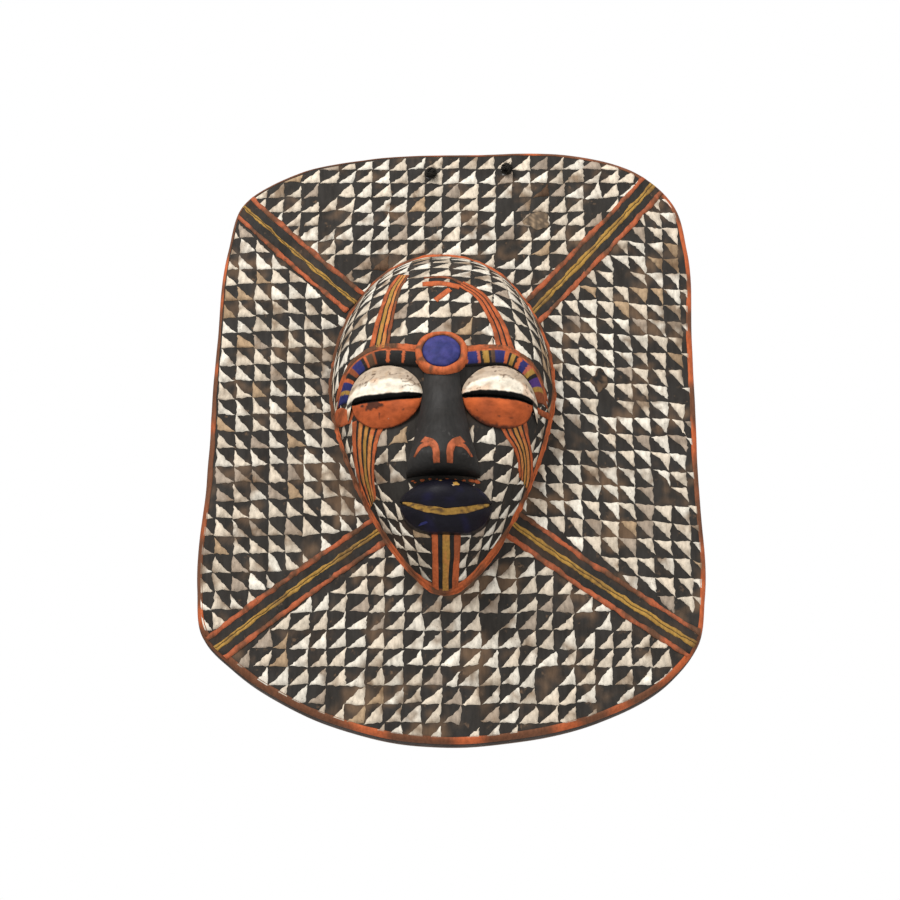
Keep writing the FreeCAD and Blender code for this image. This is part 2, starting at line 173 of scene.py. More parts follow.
def smooth_step(low, high, value):
    """0 below low, 1 above high and smooth between."""
    t = np.clip((np.asarray(value, float) - low) / (high - low), 0, 1)
    return t * t * (3 - 2 * t)


def rough_xz(points, size, seed):
    """The same noise read at the x and z of points in space."""
    return rough(points[:, 0], 0, points[:, 2], size, seed)


def rough_flat(points, size, seed):
    """The same noise read at flat points."""
    return rough(points[:, 0], points[:, 1], 0, size, seed)


def full_turn(count):
    """Directions all the way round."""
    return np.linspace(-math.pi, math.pi, count, endpoint=False)


def unit(vectors):
    """Vectors scaled to length 1."""
    return vectors / np.linalg.norm(vectors, axis=1)[:, None]


def distances(points):
    """How far along their path each of the points lies."""
    return np.concatenate([[0], np.cumsum(np.linalg.norm(np.diff(points, axis=0), axis=1))])


def evenly(points, count):
    """As many points as count, evenly spaced along a path."""
    along = distances(points)
    wanted = np.linspace(0, along[-1], count)
    return np.stack([np.interp(wanted, along, column) for column in points.T], axis=1)


def line_normals(line):
    """The direction to the left of a flat line at each of its points."""
    direction = unit(np.gradient(line, axis=0))
    return np.stack([-direction[:, 1], direction[:, 0]], axis=1)


def closed_curve(points, per_span=24):
    """A smooth closed curve through points, evenly divided between them."""
    p = np.array(points, float)
    before, after, beyond = np.roll(p, 1, 0), np.roll(p, -1, 0), np.roll(p, -2, 0)
    chord = np.linalg.norm(after - p, axis=1)[:, None]
    chord_before, chord_after = np.roll(chord, 1, 0), np.roll(chord, -1, 0)
    slope_in, slope = (p - before) / chord_before, (after - p) / chord
    slope_out = (beyond - after) / chord_after
    m0 = chord * (slope_in * chord + slope * chord_before) / (chord + chord_before)
    m1 = chord * (slope * chord_after + slope_out * chord) / (chord + chord_after)
    t = (np.arange(per_span) / per_span)[None, :, None]
    curve = (
        (2 * t**3 - 3 * t**2 + 1) * p[:, None] + (t**3 - 2 * t**2 + t) * m0[:, None]
        + (3 * t**2 - 2 * t**3) * after[:, None] + (t**3 - t**2) * m1[:, None]
    )
    return curve.reshape(-1, p.shape[1])


def open_curve(points, count):
    """A smooth open curve through points, as count points evenly spaced along it."""
    p = np.array(points, float)
    p = np.vstack([2 * p[0] - p[1], p, 2 * p[-1] - p[-2]])
    dense = []
    for a, b, c, d in zip(p, p[1:], p[2:], p[3:]):
        for t in np.linspace(0, 1, 16, endpoint=False):
            square, cube = 2 * a - 5 * b + 4 * c - d, 3 * b - a - 3 * c + d
            dense.append(0.5 * (2 * b + (c - a) * t + square * t**2 + cube * t**3))
    return evenly(np.array(dense + [p[-2]]), count)


# ---------------------------------------------------------------- the carved surfaces

def egg(u, v, shrink=0.0):
    """0 on the face's axis and 1 on its outline, drawn in by shrink."""
    power = np.where(v > 0, TOP_POWER, CHIN_POWER)
    tall = np.where(v > 0, FACE_RISE, FACE_DROP) - shrink
    across = np.hypot(u / (FACE_HALF_WIDTH - shrink), MIDLINE_SOFTNESS) - MIDLINE_SOFTNESS
    across = across / (math.hypot(1, MIDLINE_SOFTNESS) - MIDLINE_SOFTNESS)
    return (across**power + (np.abs(v) / tall) ** power) ** (1 / power)


def egg_reach(direction, shrink=0.0):
    """How far the outline is from the axis in each direction."""
    c, s = np.cos(direction), np.sin(direction)
    low, high = np.zeros_like(c), np.full_like(c, 2 * FACE_DROP)
    for _ in range(40):
        middle = (low + high) / 2
        inside = egg(middle * c, middle * s, shrink) < 1
        low, high = np.where(inside, middle, low), np.where(inside, high, middle)
    return low


def hill(u, v, rise, u0, v0, wide, tall):
    """A smooth swell at (u0, v0) and its mirror image, or a hollow where rise is negative."""
    return rise * np.exp(-(((np.abs(u) - u0) / wide) ** 2) - ((v - v0) / tall) ** 2)


def dome(u, v, height, shrink=0.0):
    """A dome with a broad crown, falling past the outline in the same sweep."""
    rho = egg(u, v, shrink)
    share = 1 - rho**DOME_POWER
    upward = np.maximum(0.0, v / FACE_RISE / np.maximum(rho, 0.05))
    edge = DOME_EDGE + DOME_TOP_EDGE * upward * upward
    return height * share * np.hypot(1, edge) / np.hypot(share, edge)


def modelling(u, v):
    """What the carver took off or left on the plain dome."""
    return sum(hill(u, v, *swell) for swell in MODELLING)


def face_height(u, v):
    """How far the face stands out of the board's front, with the knife's small facets."""
    facets = 0.45 * rough(u, v, 0, 19, 3.1) + 0.16 * rough(u, v, 0, 6.5, 8.3)
    return dome(u, v, DOME_HEIGHT) + modelling(u, v) + facets


def cavity_height(u, v):
    """The same for the hollow behind, with its gouge marks."""
    gouge = 0.9 * np.abs(rough(u, v, 0, 15, 5.5)) + 0.5 * rough(u, v, 0, 7, 1.2)
    return dome(u, v, CAVITY_HEIGHT, WALL) + modelling(u, v) - gouge


def nose_share(v):
    """0 at the nose's root and 1 at its base."""
    return np.clip((NOSE_TOP - v) / (NOSE_TOP - NOSE_BASE), 0, 1)


def nose_half_width(share):
    """Half the nose's width, from its root to its wings."""
    return NOSE_ROOT_HALF + (NOSE_WING_HALF - NOSE_ROOT_HALF) * share**NOSE_FLARE


def nose_height(u, v):
    """A ridge that rises and widens from root to tip, a swell for each wing and a rounded base."""
    share = nose_share(v)
    ridge = NOSE_ROOT_STAND + (NOSE_TIP_STAND - NOSE_ROOT_STAND) * share**NOSE_RISE
    ridge = ridge * (0.72 + 0.28 * smooth_step(NOSE_TOP, NOSE_TOP - 16, v))
    across = np.abs(u) / (nose_half_width(share) * NOSE_SPREAD)
    crest = np.maximum(0.0, 1 - across**2.1) ** 0.75
    wings = hill(u, v, *NOSE_WING) + hill(u, v, *NOSE_CREASE)
    under = np.clip((NOSE_BASE + NOSE_ROUND - v) / NOSE_ROUND, 0, 1) ** 2
    small = 0.25 * rough(u, v, 0, 9, 4.4)
    body = (ridge * crest + wings) * np.sqrt(1 - NOSE_UNDERCUT * under)
    return face_height(NOSE_FOLLOW * u, v) + body + small


def slit_v(u):
    """The level of the slit, which sags on the left eye and bulges on the right."""
    across = (np.abs(u) - EYE_U) / EYE_HALF_WIDTH
    rise, bulge, outer = (np.where(np.asarray(u) < 0, *pair) for pair in (SLIT_RISE, SLIT_BULGE, SLIT_OUTER))
    return EYE_V + rise * (1 - across) / 2 + bulge * (1 - across**2) + outer * np.maximum(0, across) ** 2


def lid_height(u, v):
    """The eyeball's swell, with a soft crease across the upper lid, which overhangs the lower."""
    across = (np.abs(u) - EYE_U) / EYE_HALF_WIDTH
    up = (v - EYE_V) / np.where(v > EYE_V, LID_RISE, LID_DROP)
    left = np.maximum(0.0, 1.15 - across * across - up * up)
    swell = LID_BULGE * left / 1.15 * (1.25 - 0.25 * left)
    above = v > slit_v(u)
    crease = np.where(above, 2.2 * np.exp(-(((up - lid_crease(across)) / 0.2) ** 2)), 0.0)
    near = np.exp(-(((v - slit_v(u)) / 3.2) ** 2))
    overhang = np.where(above, 0.7, -2.9) * near * np.clip(left * 1.6, 0, 1)
    plaster = 0.3 * rough(u, v, 0, 8, 6.1) + 0.2 * rough(u, v, 0, 3, 2.7)
    return face_height(u, v) + swell + crease * np.clip(left, 0, 1) + overhang + plaster


def lid_crease(across):
    """How far up the lid its crease runs, highest in the middle."""
    return 0.50 - 0.35 * across * across


def mouth_line(u):
    """The level of the mouth, which rises towards its corners."""
    return MOUTH_V + (LIP_CORNER_V - MOUTH_V) * ((u - MOUTH_U) / MOUTH_HALF_WIDTH) ** 2


def lip_height(u, v):
    """Both lips: one full almond with a groove along the mouth."""
    middle = (LIP_TOP_V + LIP_BASE_V) / 2
    across = (u - MOUTH_U) / (MOUTH_HALF_WIDTH * 1.1)
    up = (v - middle) / ((LIP_TOP_V - LIP_BASE_V) / 2 * 1.04)
    full = np.maximum(0.0, 1 - across * across - up * up) ** 0.5
    groove = LIP_GROOVE_DEPTH * np.exp(-(((v - mouth_line(u)) / LIP_GROOVE_WIDTH) ** 2))
    small = 0.2 * rough(u, v, 0, 9, 2.2)
    return face_height(u, v) + LIP_STAND * full - groove * np.minimum(1, 1.6 * full) + small


def to_frame(u, v, height):
    """Points of the face's (u, v), standing height out of the board's front."""
    u, v, height = np.broadcast_arrays(u, v, height)
    drift = CHIN_DRIFT * np.maximum(0, -v) / FACE_DROP
    return np.stack([FACE_X + drift + u, -(BOARD_THICK + height), FACE_Z + v], axis=-1)


def on_relief(height):
    """A surface for patches: (u, v) points lifted off height along its own normal."""
    def surface(points, lift):
        u, v = points[:, 0], points[:, 1]
        step = 0.4
        slope_u = (height(u + step, v) - height(u - step, v)) / (2 * step)
        slope_v = (height(u, v + step) - height(u, v - step)) / (2 * step)
        normal = unit(np.stack([-slope_u, -np.ones_like(u), -slope_v], axis=1))
        return to_frame(u, v, height(u, v)) + normal * lift
    return surface


def board_waves(x, z):
    """The adze's shallow waves on the board's front."""
    return 0.42 * rough(x, 0, z, 26, 9.7) + 0.10 * rough(x, 0, z, 9, 2.9)


def on_board(points, lift):
    """A surface for patches on the board's front, given as (x, z)."""
    x, z = points[:, 0], points[:, 1]
    return np.stack([x, -BOARD_THICK + board_waves(x, z) - lift, z], axis=1)


def polar(points):
    """Direction and distance of (x, z) points from the face's centre."""
    d = np.asarray(points, float) - (FACE_X, FACE_Z)
    return np.arctan2(d[..., 1], d[..., 0]), np.hypot(d[..., 0], d[..., 1])


def reach_of(outline):
    """The distance of a closed outline from the face's centre, as a function of direction."""
    angle, distance = polar(outline)
    order = np.argsort(angle)
    return lambda direction: np.interp(direction, angle[order], distance[order], period=2 * math.pi)


TURN = full_turn(1440)
EGG_REACH = egg_reach(TURN)
EGG_OUTLINE = to_frame(EGG_REACH * np.cos(TURN), EGG_REACH * np.sin(TURN), 0.0)[:, [0, 2]]
rim_reach = reach_of(EGG_OUTLINE)
edge_reach = reach_of(closed_curve(BOARD_OUTLINE))


# ---------------------------------------------------------------- making meshes

def add_object(name, data):
    """A new object in the scene."""
    obj = bpy.data.objects.new(name, data)
    bpy.context.scene.collection.objects.link(obj)
    return obj


def new_mesh(name, vertices, faces):
    """A mesh from millimetre vertices."""
    mesh = bpy.data.meshes.new(name)
    mesh.from_pydata([tuple(c) for c in np.asarray(vertices) * MM], [], faces)
    return mesh


def piece(name, vertices, faces, material, nodes=(), colours=None, merge=0.0, body="mask"):
    """A mesh object from millimetre vertices, riding on a body, with its paint as vertex colours."""
    mesh = new_mesh(name, vertices, faces)
    if colours is not None:
        paint = mesh.color_attributes.new("paint", "FLOAT_COLOR", "POINT")
        rgba = np.ones((len(vertices), 4))
        rgba[:, :3] = colours
        paint.data.foreach_set("color", rgba.ravel())
    obj = add_object(name, mesh)
    tidy_mesh(mesh, merge)
    mesh.polygons.foreach_set("use_smooth", [True] * len(mesh.polygons))
    mesh.materials.append(material)
    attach(obj, body)
    if nodes:
        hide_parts(*nodes)
    return obj


def tidy_mesh(mesh, merge=0.0):
    """Joins points that meet, drops faces with no area and turns every face outwards."""
    work = bmesh.new()
    work.from_mesh(mesh)
    if merge:
        bmesh.ops.remove_doubles(work, verts=work.verts, dist=merge * MM)
    bmesh.ops.dissolve_degenerate(work, edges=work.edges, dist=1e-7)
    bmesh.ops.recalc_face_normals(work, faces=work.faces)
    work.to_mesh(mesh)
    work.free()


def ring_faces(rings, around, closed_ends=(False, False)):
    """Faces between consecutive rings of points, each of the same number."""
    faces = []
    for r in range(rings - 1):
        for k in range(around):
            n = (k + 1) % around
            faces.append((r * around + k, r * around + n, (r + 1) * around + n, (r + 1) * around + k))
    if closed_ends[0]:
        faces.append(tuple(range(around)))
    if closed_ends[1]:
        faces.append(tuple(range((rings - 1) * around, rings * around)))
    return faces


def looped_faces(rings, around):
    """The same with the last ring joined to the first."""
    return [tuple(i % (rings * around) for i in f) for f in ring_faces(rings + 1, around)]


def grid_solid(top, low):
    """Vertices and faces of a closed solid between two (along, across) grids of points."""
    along, across = top.shape[:2]
    count = along * across
    faces = []
    for r in range(along - 1):
        for c in range(across - 1):
            a = r * across + c
            quad = (a, a + 1, a + 1 + across, a + across)
            faces.append(quad)
            faces.append(tuple(count + q for q in reversed(quad)))
    edge = list(range(across))
    edge += [r * across + across - 1 for r in range(1, along)]
    edge += [(along - 1) * across + c for c in range(across - 2, -1, -1)]
    edge += [r * across for r in range(along - 2, 0, -1)]
    for a, b in zip(edge, edge[1:] + edge[:1]):
        faces.append((b, a, count + a, count + b))
    return np.vstack([top.reshape(-1, 3), low.reshape(-1, 3)]), faces


def ease(count):
    """Numbers from 0 to 1 that crowd towards 1."""
    return np.sin(math.pi / 2 * np.linspace(0, 1, count))


def spread(u, low, high, share):
    """A grid of (u, v) points from one row of v to another."""
    v = low[None, :] * (1 - share[:, None]) + high[None, :] * share[:, None]
    return np.stack([np.broadcast_to(u, v.shape), v], axis=-1)


def inside(polygon, points):
    """Which points lie inside a polygon."""
    x, y = points[:, 0], points[:, 1]
    result = np.zeros(len(points), bool)
    for (x0, y0), (x1, y1) in zip(polygon, np.roll(polygon, -1, 0)):
        crosses = (y0 > y) != (y1 > y)
        with np.errstate(divide="ignore", invalid="ignore"):
            result ^= crosses & (x < (x1 - x0) * (y - y0) / (y1 - y0) + x0)
    return result


def filled(polygon, spacing):
    """Points and triangles that fill a polygon, its outline's points first."""
    low, high = polygon.min(0), polygon.max(0)
    xs = np.arange(low[0] + spacing / 2, high[0], spacing)
    ys = np.arange(low[1] + spacing / 2, high[1], spacing)
    if len(xs) and len(ys):
        grid = np.stack(np.meshgrid(xs, ys), axis=-1).reshape(-1, 2)
        grid = grid[inside(polygon, grid)]
        if len(grid):
            gap = np.min(np.linalg.norm(grid[:, None] - polygon[None], axis=2), axis=1)
            grid = grid[gap > 0.45 * spacing]
        points = np.vstack([polygon, grid])
    else:
        points = polygon
    count = len(polygon)
    edges = [(k, (k + 1) % count) for k in range(count)]
    verts, _, faces, *_ = delaunay_2d_cdt([Vector(p) for p in points], edges, [], 1, 1e-5)
    return np.array([tuple(v) for v in verts]), [tuple(f) for f in faces]


def patchy(colour, other, size, amount, seed=0.0, bias=0.0):
    """A colour that gives way to another in patches, as a function of points."""
    def paint(points):
        drift = rough_flat(points, size, seed) + 0.5 * rough_flat(points, size / 4, seed)
        return blend_colour(colour, other, amount * smooth_step(-0.15 - bias, 0.45 - bias, drift))
    return paint


def open_edges(triangles):
    """The edges that only one of the triangles has, in its direction."""
    seen = {}
    for a, b, c in triangles:
        for edge in ((a, b), (b, c), (c, a)):
            key = tuple(sorted(edge))
            seen[key] = None if key in seen else edge
    return [edge for edge in seen.values() if edge]


def patches(name, shapes, surface, lift, material, spacing=3.0, sink=0.5):
    """One piece of thin paint made of many shapes: each is a (polygon, colour) on the surface."""
    flats, faces, colours = [], [], []
    start = 0
    for polygon, colour in shapes:
        flat, triangles = filled(polygon, spacing)
        if not triangles:
            continue
        count = len(flat)
        low = start + count
        faces += [tuple(start + i for i in t) for t in triangles]
        faces += [tuple(low + i for i in reversed(t)) for t in triangles]
        faces += [(start + b, start + a, low + a, low + b) for a, b in open_edges(triangles)]
        flats.append(flat)
        colours.append(colour(flat) if callable(colour) else np.tile(colour, (count, 1)))
        start += 2 * count
    upper = surface(np.vstack(flats), lift)
    lower = surface(np.vstack(flats), -sink)
    ends = np.cumsum([len(flat) for flat in flats])[:-1]
    vertices = [half for pair in zip(np.split(upper, ends), np.split(lower, ends)) for half in pair]
    paint = [half for colour in colours for half in (colour, colour)]
    return piece(name, np.vstack(vertices), faces, material, colours=np.vstack(paint))


# ---------------------------------------------------------------- materials

class Shader:
    """A short way to write a node material."""

    def __init__(self, name):
        self.material = bpy.data.materials.new(name)
        self.material.use_nodes = True
        self.tree = self.material.node_tree
        self.tree.nodes.clear()
        self.out = self.tree.nodes.new("ShaderNodeOutputMaterial")
        self.surface = self.tree.nodes.new("ShaderNodeBsdfPrincipled")
        self.tree.links.new(self.surface.outputs[0], self.out.inputs[0])
        self.place = self.tree.nodes.new("ShaderNodeTexCoord").outputs["Object"]

    def link(self, source, target):
        """Joins an output to an input, or sets the input where the source is a number or a colour."""
        if isinstance(source, bpy.types.NodeSocket):
            self.tree.links.new(source, target)
        elif isinstance(source, tuple):
            target.default_value = (*source, 1.0)
        else:
            target.default_value = source

    def stretched(self, x, y, z):
        """The object's coordinates times (x, y, z)."""
        node = self.tree.nodes.new("ShaderNodeMapping")
        node.inputs["Scale"].default_value = (x, y, z)
        self.link(self.place, node.inputs["Vector"])
        return node.outputs[0]

    def noise(self, scale, detail=3.0, place=None, roughness=0.55, distortion=0.0):
        """Noise from 0 to 1."""
        node = self.tree.nodes.new("ShaderNodeTexNoise")
        node.inputs["Scale"].default_value = scale
        node.inputs["Detail"].default_value = detail
        node.inputs["Roughness"].default_value = roughness
        node.inputs["Distortion"].default_value = distortion
        self.link(place or self.place, node.inputs["Vector"])
        return node.outputs["Fac"]

    def ramp(self, value, low, high, start=0.0, end=1.0):
        """value from low..high to start..end, smoothly and clamped."""
        node = self.tree.nodes.new("ShaderNodeMapRange")
        node.interpolation_type = "SMOOTHSTEP"
        for key, number in (("From Min", low), ("From Max", high), ("To Min", start), ("To Max", end)):
            node.inputs[key].default_value = number
        self.link(value, node.inputs["Value"])
        return node.outputs[0]

    def math(self, operation, a, b=0.0):
        """One sum."""
        node = self.tree.nodes.new("ShaderNodeMath")
        node.operation = operation
        self.link(a, node.inputs[0])
        self.link(b, node.inputs[1])
        return node.outputs[0]

    def mix(self, share, a, b, how="MIX"):
        """Colour a where share is 0, b where it is 1."""
        node = self.tree.nodes.new("ShaderNodeMix")
        node.data_type = "RGBA"
        node.blend_type = how
        self.link(share, node.inputs["Factor"])
        for colour, key in ((a, "A"), (b, "B")):
            socket = [i for i in node.inputs if i.name == key and i.type == "RGBA"][0]
            self.link(colour, socket)
        return [o for o in node.outputs if o.type == "RGBA"][0]

    def paint(self):
        """The piece's own vertex colours."""
        node = self.tree.nodes.new("ShaderNodeAttribute")
        node.attribute_name = "paint"
        return node.outputs["Color"]

    def finish(self, colour, roughness, height, distance=0.0004, strength=0.6):
        """Sets colour, roughness and bump."""
        self.link(colour, self.surface.inputs["Base Color"])
        self.link(roughness, self.surface.inputs["Roughness"])
        bump = self.tree.nodes.new("ShaderNodeBump")
        bump.inputs["Distance"].default_value = distance
        bump.inputs["Strength"].default_value = strength
        self.link(height, bump.inputs["Height"])
        self.tree.links.new(bump.outputs[0], self.surface.inputs["Normal"])
        return self.material


def painted_wood(name, wear=UMBER, wear_from=0.62, speckle=0.5, streak=(300, 300, 60), sheen=0.72, bump=0.6,
                 gloss=0.1):
    """Brushed earth paint on carved wood: streaks, rubbed patches, specks and a fine tooth."""
    s = Shader(name)
    base = s.paint()
    streaks = s.noise(1.0, 4, s.stretched(*streak), 0.6)
    blotches = s.noise(55, 3)
    tone = s.mix(s.ramp(streaks, 0.3, 0.75, 0.0, 0.35), base, (0.0, 0.0, 0.0))
    tone = s.mix(s.ramp(blotches, 0.35, 0.75, 0.0, 0.22), tone, (0.55, 0.42, 0.30), "MULTIPLY")
    rubbed = s.ramp(s.noise(130, 5, None, 0.7), wear_from, wear_from + 0.12)
    rubbed = s.math("MULTIPLY", rubbed, s.ramp(streaks, 0.4, 0.6))
    tone = s.mix(s.math("MULTIPLY", rubbed, 0.75), tone, wear)
    specks = s.ramp(s.noise(900, 2), 0.66, 0.74, 0.0, speckle)
    tone = s.mix(specks, tone, (0.05, 0.035, 0.025))
    tooth = s.math("ADD", s.noise(1500, 3), s.math("MULTIPLY", streaks, 1.2))
    height = s.math("SUBTRACT", tooth, s.math("MULTIPLY", rubbed, 0.8))
    s.surface.inputs["Specular IOR Level"].default_value = gloss
    return s.finish(tone, s.ramp(blotches, 0.3, 0.7, sheen - 0.07, sheen + 0.1), height, 0.0003, bump)


def bare_back(name):
    """The unpainted, smoke-dark back: grain along the board and gouge marks."""
    s = Shader(name)
    grain = s.noise(1.0, 5, s.stretched(260, 260, 22), 0.62, 0.6)
    stain = s.noise(14, 4)
    tone = s.mix(s.ramp(grain, 0.3, 0.7), (0.060, 0.034, 0.019), (0.150, 0.088, 0.048))
    tone = s.mix(s.ramp(stain, 0.35, 0.7, 0.0, 0.6), tone, (0.030, 0.020, 0.014))
    scars = s.ramp(s.noise(1.0, 2, s.stretched(90, 90, 30)), 0.56, 0.66)
    tone = s.mix(s.math("MULTIPLY", scars, 0.35), tone, (0.20, 0.125, 0.070))
    height = s.math("ADD", grain, s.math("MULTIPLY", s.noise(1.0, 2, s.stretched(110, 110, 55)), 2.0))
    s.surface.inputs["Specular IOR Level"].default_value = 0.3
    return s.finish(tone, s.ramp(grain, 0.3, 0.7, 0.62, 0.82), height, 0.0008, 0.7)


def twine_fibre(name):
    """Black twisted fibre."""
    s = Shader(name)
    twist = s.noise(1.0, 3, s.stretched(1400, 1400, 700), 0.6)
    tone = s.mix(s.ramp(twist, 0.35, 0.7), (0.005, 0.005, 0.0045), (0.026, 0.022, 0.018))
    s.surface.inputs["Specular IOR Level"].default_value = 0.05
    return s.finish(tone, 0.85, twist, 0.0003, 0.8)


BOARD_PAINT = painted_wood("board_paint", (0.120, 0.075, 0.045), 0.58, 0.25)
CELL_PAINT = painted_wood("cell_paint", (0.230, 0.165, 0.110), 0.60, 0.6, (420, 420, 170), 0.8)
STRIPE_PAINT = painted_wood("stripe_paint", UMBER, 0.58, 0.5, (500, 500, 160), 0.72)
LID_PAINT = painted_wood("lid_paint", STONE, 0.70, 0.25, (160, 160, 260), 0.78, 0.8)
NOSE_PAINT = painted_wood("nose_paint", (0.060, 0.055, 0.052), 0.60, 0.12, (500, 500, 120), 0.6, 0.45, 0.12)
LIP_PAINT = painted_wood("lip_paint", (0.020, 0.018, 0.035), 0.62, 0.1, (160, 160, 420), 0.42, 0.5, 0.09)
BOSS_PAINT = painted_wood("boss_paint", (0.060, 0.060, 0.200), 0.62, 0.2, (300, 300, 300), 0.6, 0.6)
BACK_WOOD = bare_back("back_wood")
TWINE = twine_fibre("twine_fibre")


# ---------------------------------------------------------------- the board

def edge_drop(inset):
    """How far the rounded front edge lies behind the board's front, inset from the outline."""
    short = np.clip(EDGE_ROUND - np.asarray(inset, float), 0, EDGE_ROUND)
    return EDGE_ROUND - np.sqrt(EDGE_ROUND**2 - short**2)


def board_ring(share_or_inset, y, from_rim=False):
    """One ring of the board's mesh: a share of the way from rim to edge, or an inset from the edge."""
    angle = full_turn(BOARD_AROUND)
    inner, outer = rim_reach(angle), edge_reach(angle)
    wobble = 0.5 * rough(40 * np.cos(angle), 40 * np.sin(angle), 0, 6, 1.3)
    outer = outer + wobble
    if from_rim:
        radius = inner + (outer - EDGE_ROUND - inner) * share_or_inset
    else:
        radius = outer - share_or_inset
    x, z = FACE_X + radius * np.cos(angle), FACE_Z + radius * np.sin(angle)
    return np.stack([x, np.broadcast_to(y, x.shape), z], axis=1)


def make_board():
    """The board: waved front, rounded edge, gouged back and the opening that holds the face."""
    rings = []
    for share in np.linspace(0, 1, 62):
        ring = board_ring(share, 0.0, True)
        ring[:, 1] = -BOARD_THICK + board_waves(ring[:, 0], ring[:, 2])
        rings.append(ring)
    for turn in np.linspace(0, math.pi / 2, 7)[1:]:
        inset = EDGE_ROUND * (1 - math.sin(turn))
        ring = board_ring(inset, 0.0)
        waves = board_waves(ring[:, 0], ring[:, 2]) * math.cos(turn)
        ring[:, 1] = -BOARD_THICK + edge_drop(inset) + waves
        rings.append(ring)
    for y in np.linspace(-BOARD_THICK + EDGE_ROUND, -1.5, 5)[1:]:
        rings.append(board_ring(0.0, y))
    rings.append(board_ring(0.5, -0.5))
    rings.append(board_ring(1.5, -0.05))
    for share in np.linspace(1, 0, 50):
        ring = board_ring(share, 0.0, True)
        ring[:, 1] = -0.05 - 0.9 * np.abs(rough_xz(ring, 17, 4.2)) * min(1, 6 * share)
        rings.append(ring)
    for y in (-BOARD_THICK * 0.33, -BOARD_THICK * 0.66):
        rings.append(board_ring(0.0, y, True))
    vertices = np.vstack(rings)
    faces = looped_faces(len(rings), BOARD_AROUND)
    smoke = rough_xz(vertices, 24, 7.7) + 0.5 * rough_xz(vertices, 7, 3.1)
    paint = blend_colour(BLACK, SMOKED, 0.85 * smooth_step(0.0, 0.8, smoke))
    edge = smooth_step(-BOARD_THICK + 1.2, -BOARD_THICK + 3.5, vertices[:, 1])
    paint = blend_colour(paint, EDGE_BROWN, edge)
    board = piece("board_wood", vertices, faces, BOARD_PAINT, ["board"], paint)
    board.data.materials.append(BACK_WOOD)
    cut_recess(board)
    for face in board.data.polygons:
        depth = face.center[1] / MM
        if depth > -RECESS_DEPTH - 0.8 and face.normal[1] > 0.3 or depth > -4.0:
            face.material_index = 1


def cutter(name, vertices, faces):
    """A plain closed mesh to cut with."""
    mesh = new_mesh(name, vertices, faces)
    tidy_mesh(mesh)
    return add_object(name, mesh)


def cut_away(target, tool):
    """Cuts a tool out of a piece and removes the tool."""
    modifier = target.modifiers.new("cut", "BOOLEAN")
    modifier.object = tool
    modifier.operation = "DIFFERENCE"
    modifier.solver = "EXACT"
    graph = bpy.context.evaluated_depsgraph_get()
    result = bpy.data.meshes.new_from_object(target.evaluated_get(graph))
    target.modifiers.remove(modifier)
    target.data = result
    bpy.data.objects.remove(tool)


def cut_recess(board):
    """The recess that the cord lies in, a rounded rectangle with a dished edge, and the two holes."""
    turn = np.linspace(0, 2 * math.pi, 96, endpoint=False)
    half = np.array(RECESS_SIZE) / 2 - RECESS_CORNER
    c, s = np.cos(turn), np.sin(turn)
    rings = []
    for grow, y in ((-1.5, -RECESS_DEPTH), (-0.3, -RECESS_DEPTH + 1.2), (0.0, -1.0), (0.3, 1.0)):
        x = RECESS_CENTRE[0] + np.sign(c) * half[0] + (RECESS_CORNER + grow) * c
        z = RECESS_CENTRE[1] + np.sign(s) * half[1] + (RECESS_CORNER + grow) * s
        rings.append(np.stack([x, np.full_like(x, y), z], axis=1))
    cut_away(board, cutter("recess", np.vstack(rings), ring_faces(4, 96, (True, True))))
    small = np.linspace(0, 2 * math.pi, 24, endpoint=False)
    for number, (x, z) in enumerate(HOLES):
        across, up = x + HOLE_RADIUS * np.cos(small), z + HOLE_RADIUS * np.sin(small)
        rings = [np.stack([across, np.full(24, y), up], axis=1) for y in (-BOARD_THICK - 3, 3.0)]
        cut_away(board, cutter(f"hole_{number}", np.vstack(rings), ring_faces(2, 24, (True, True))))


# ---------------------------------------------------------------- the face

def make_face():
    """The hollow face: carved outside, wall, flat rim at the back and gouged inside."""
    angle = full_turn(FACE_AROUND)
    outer, inner = egg_reach(angle), egg_reach(angle, WALL)
    rings = []
    for rho in ease(96)[1:]:
        u, v = rho * outer * np.cos(angle), rho * outer * np.sin(angle)
        rings.append(to_frame(u, v, face_height(u, v)))
    edge = (outer * np.cos(angle), outer * np.sin(angle))
    for y in (-0.6 * BOARD_THICK, -0.2 * BOARD_THICK, 0.0):
        rings.append(to_frame(*edge, -BOARD_THICK - y))
    back_from = (len(rings) - 1) * FACE_AROUND
    inside_edge = (inner * np.cos(angle), inner * np.sin(angle))
    rings.append(to_frame(*inside_edge, np.full(FACE_AROUND, -BOARD_THICK)))
    rings.append(to_frame(*inside_edge, np.full(FACE_AROUND, -BOARD_THICK * 0.5)))
    for rho in ease(60)[:0:-1]:
        u, v = rho * inner * np.cos(angle), rho * inner * np.sin(angle)
        height = np.maximum(cavity_height(u, v), -2.0)
        rings.append(to_frame(u, v, height))
    vertices = np.vstack(rings)
    faces = ring_faces(len(rings), FACE_AROUND, (True, True))
    u, v = vertices[:, 0] - FACE_X, vertices[:, 2] - FACE_Z
    paint = blend_colour(BLACK, UMBER, 0.3 * smooth_step(0.1, 0.6, rough(u, 0, v, 24, 5.7)))
    face = piece("face_wood", vertices, faces, BOARD_PAINT, ["face_shell"], paint)
    face.data.materials.append(BACK_WOOD)
    for polygon in face.data.polygons:
        if min(polygon.vertices) >= back_from:
            polygon.material_index = 1


# ---------------------------------------------------------------- features of the face

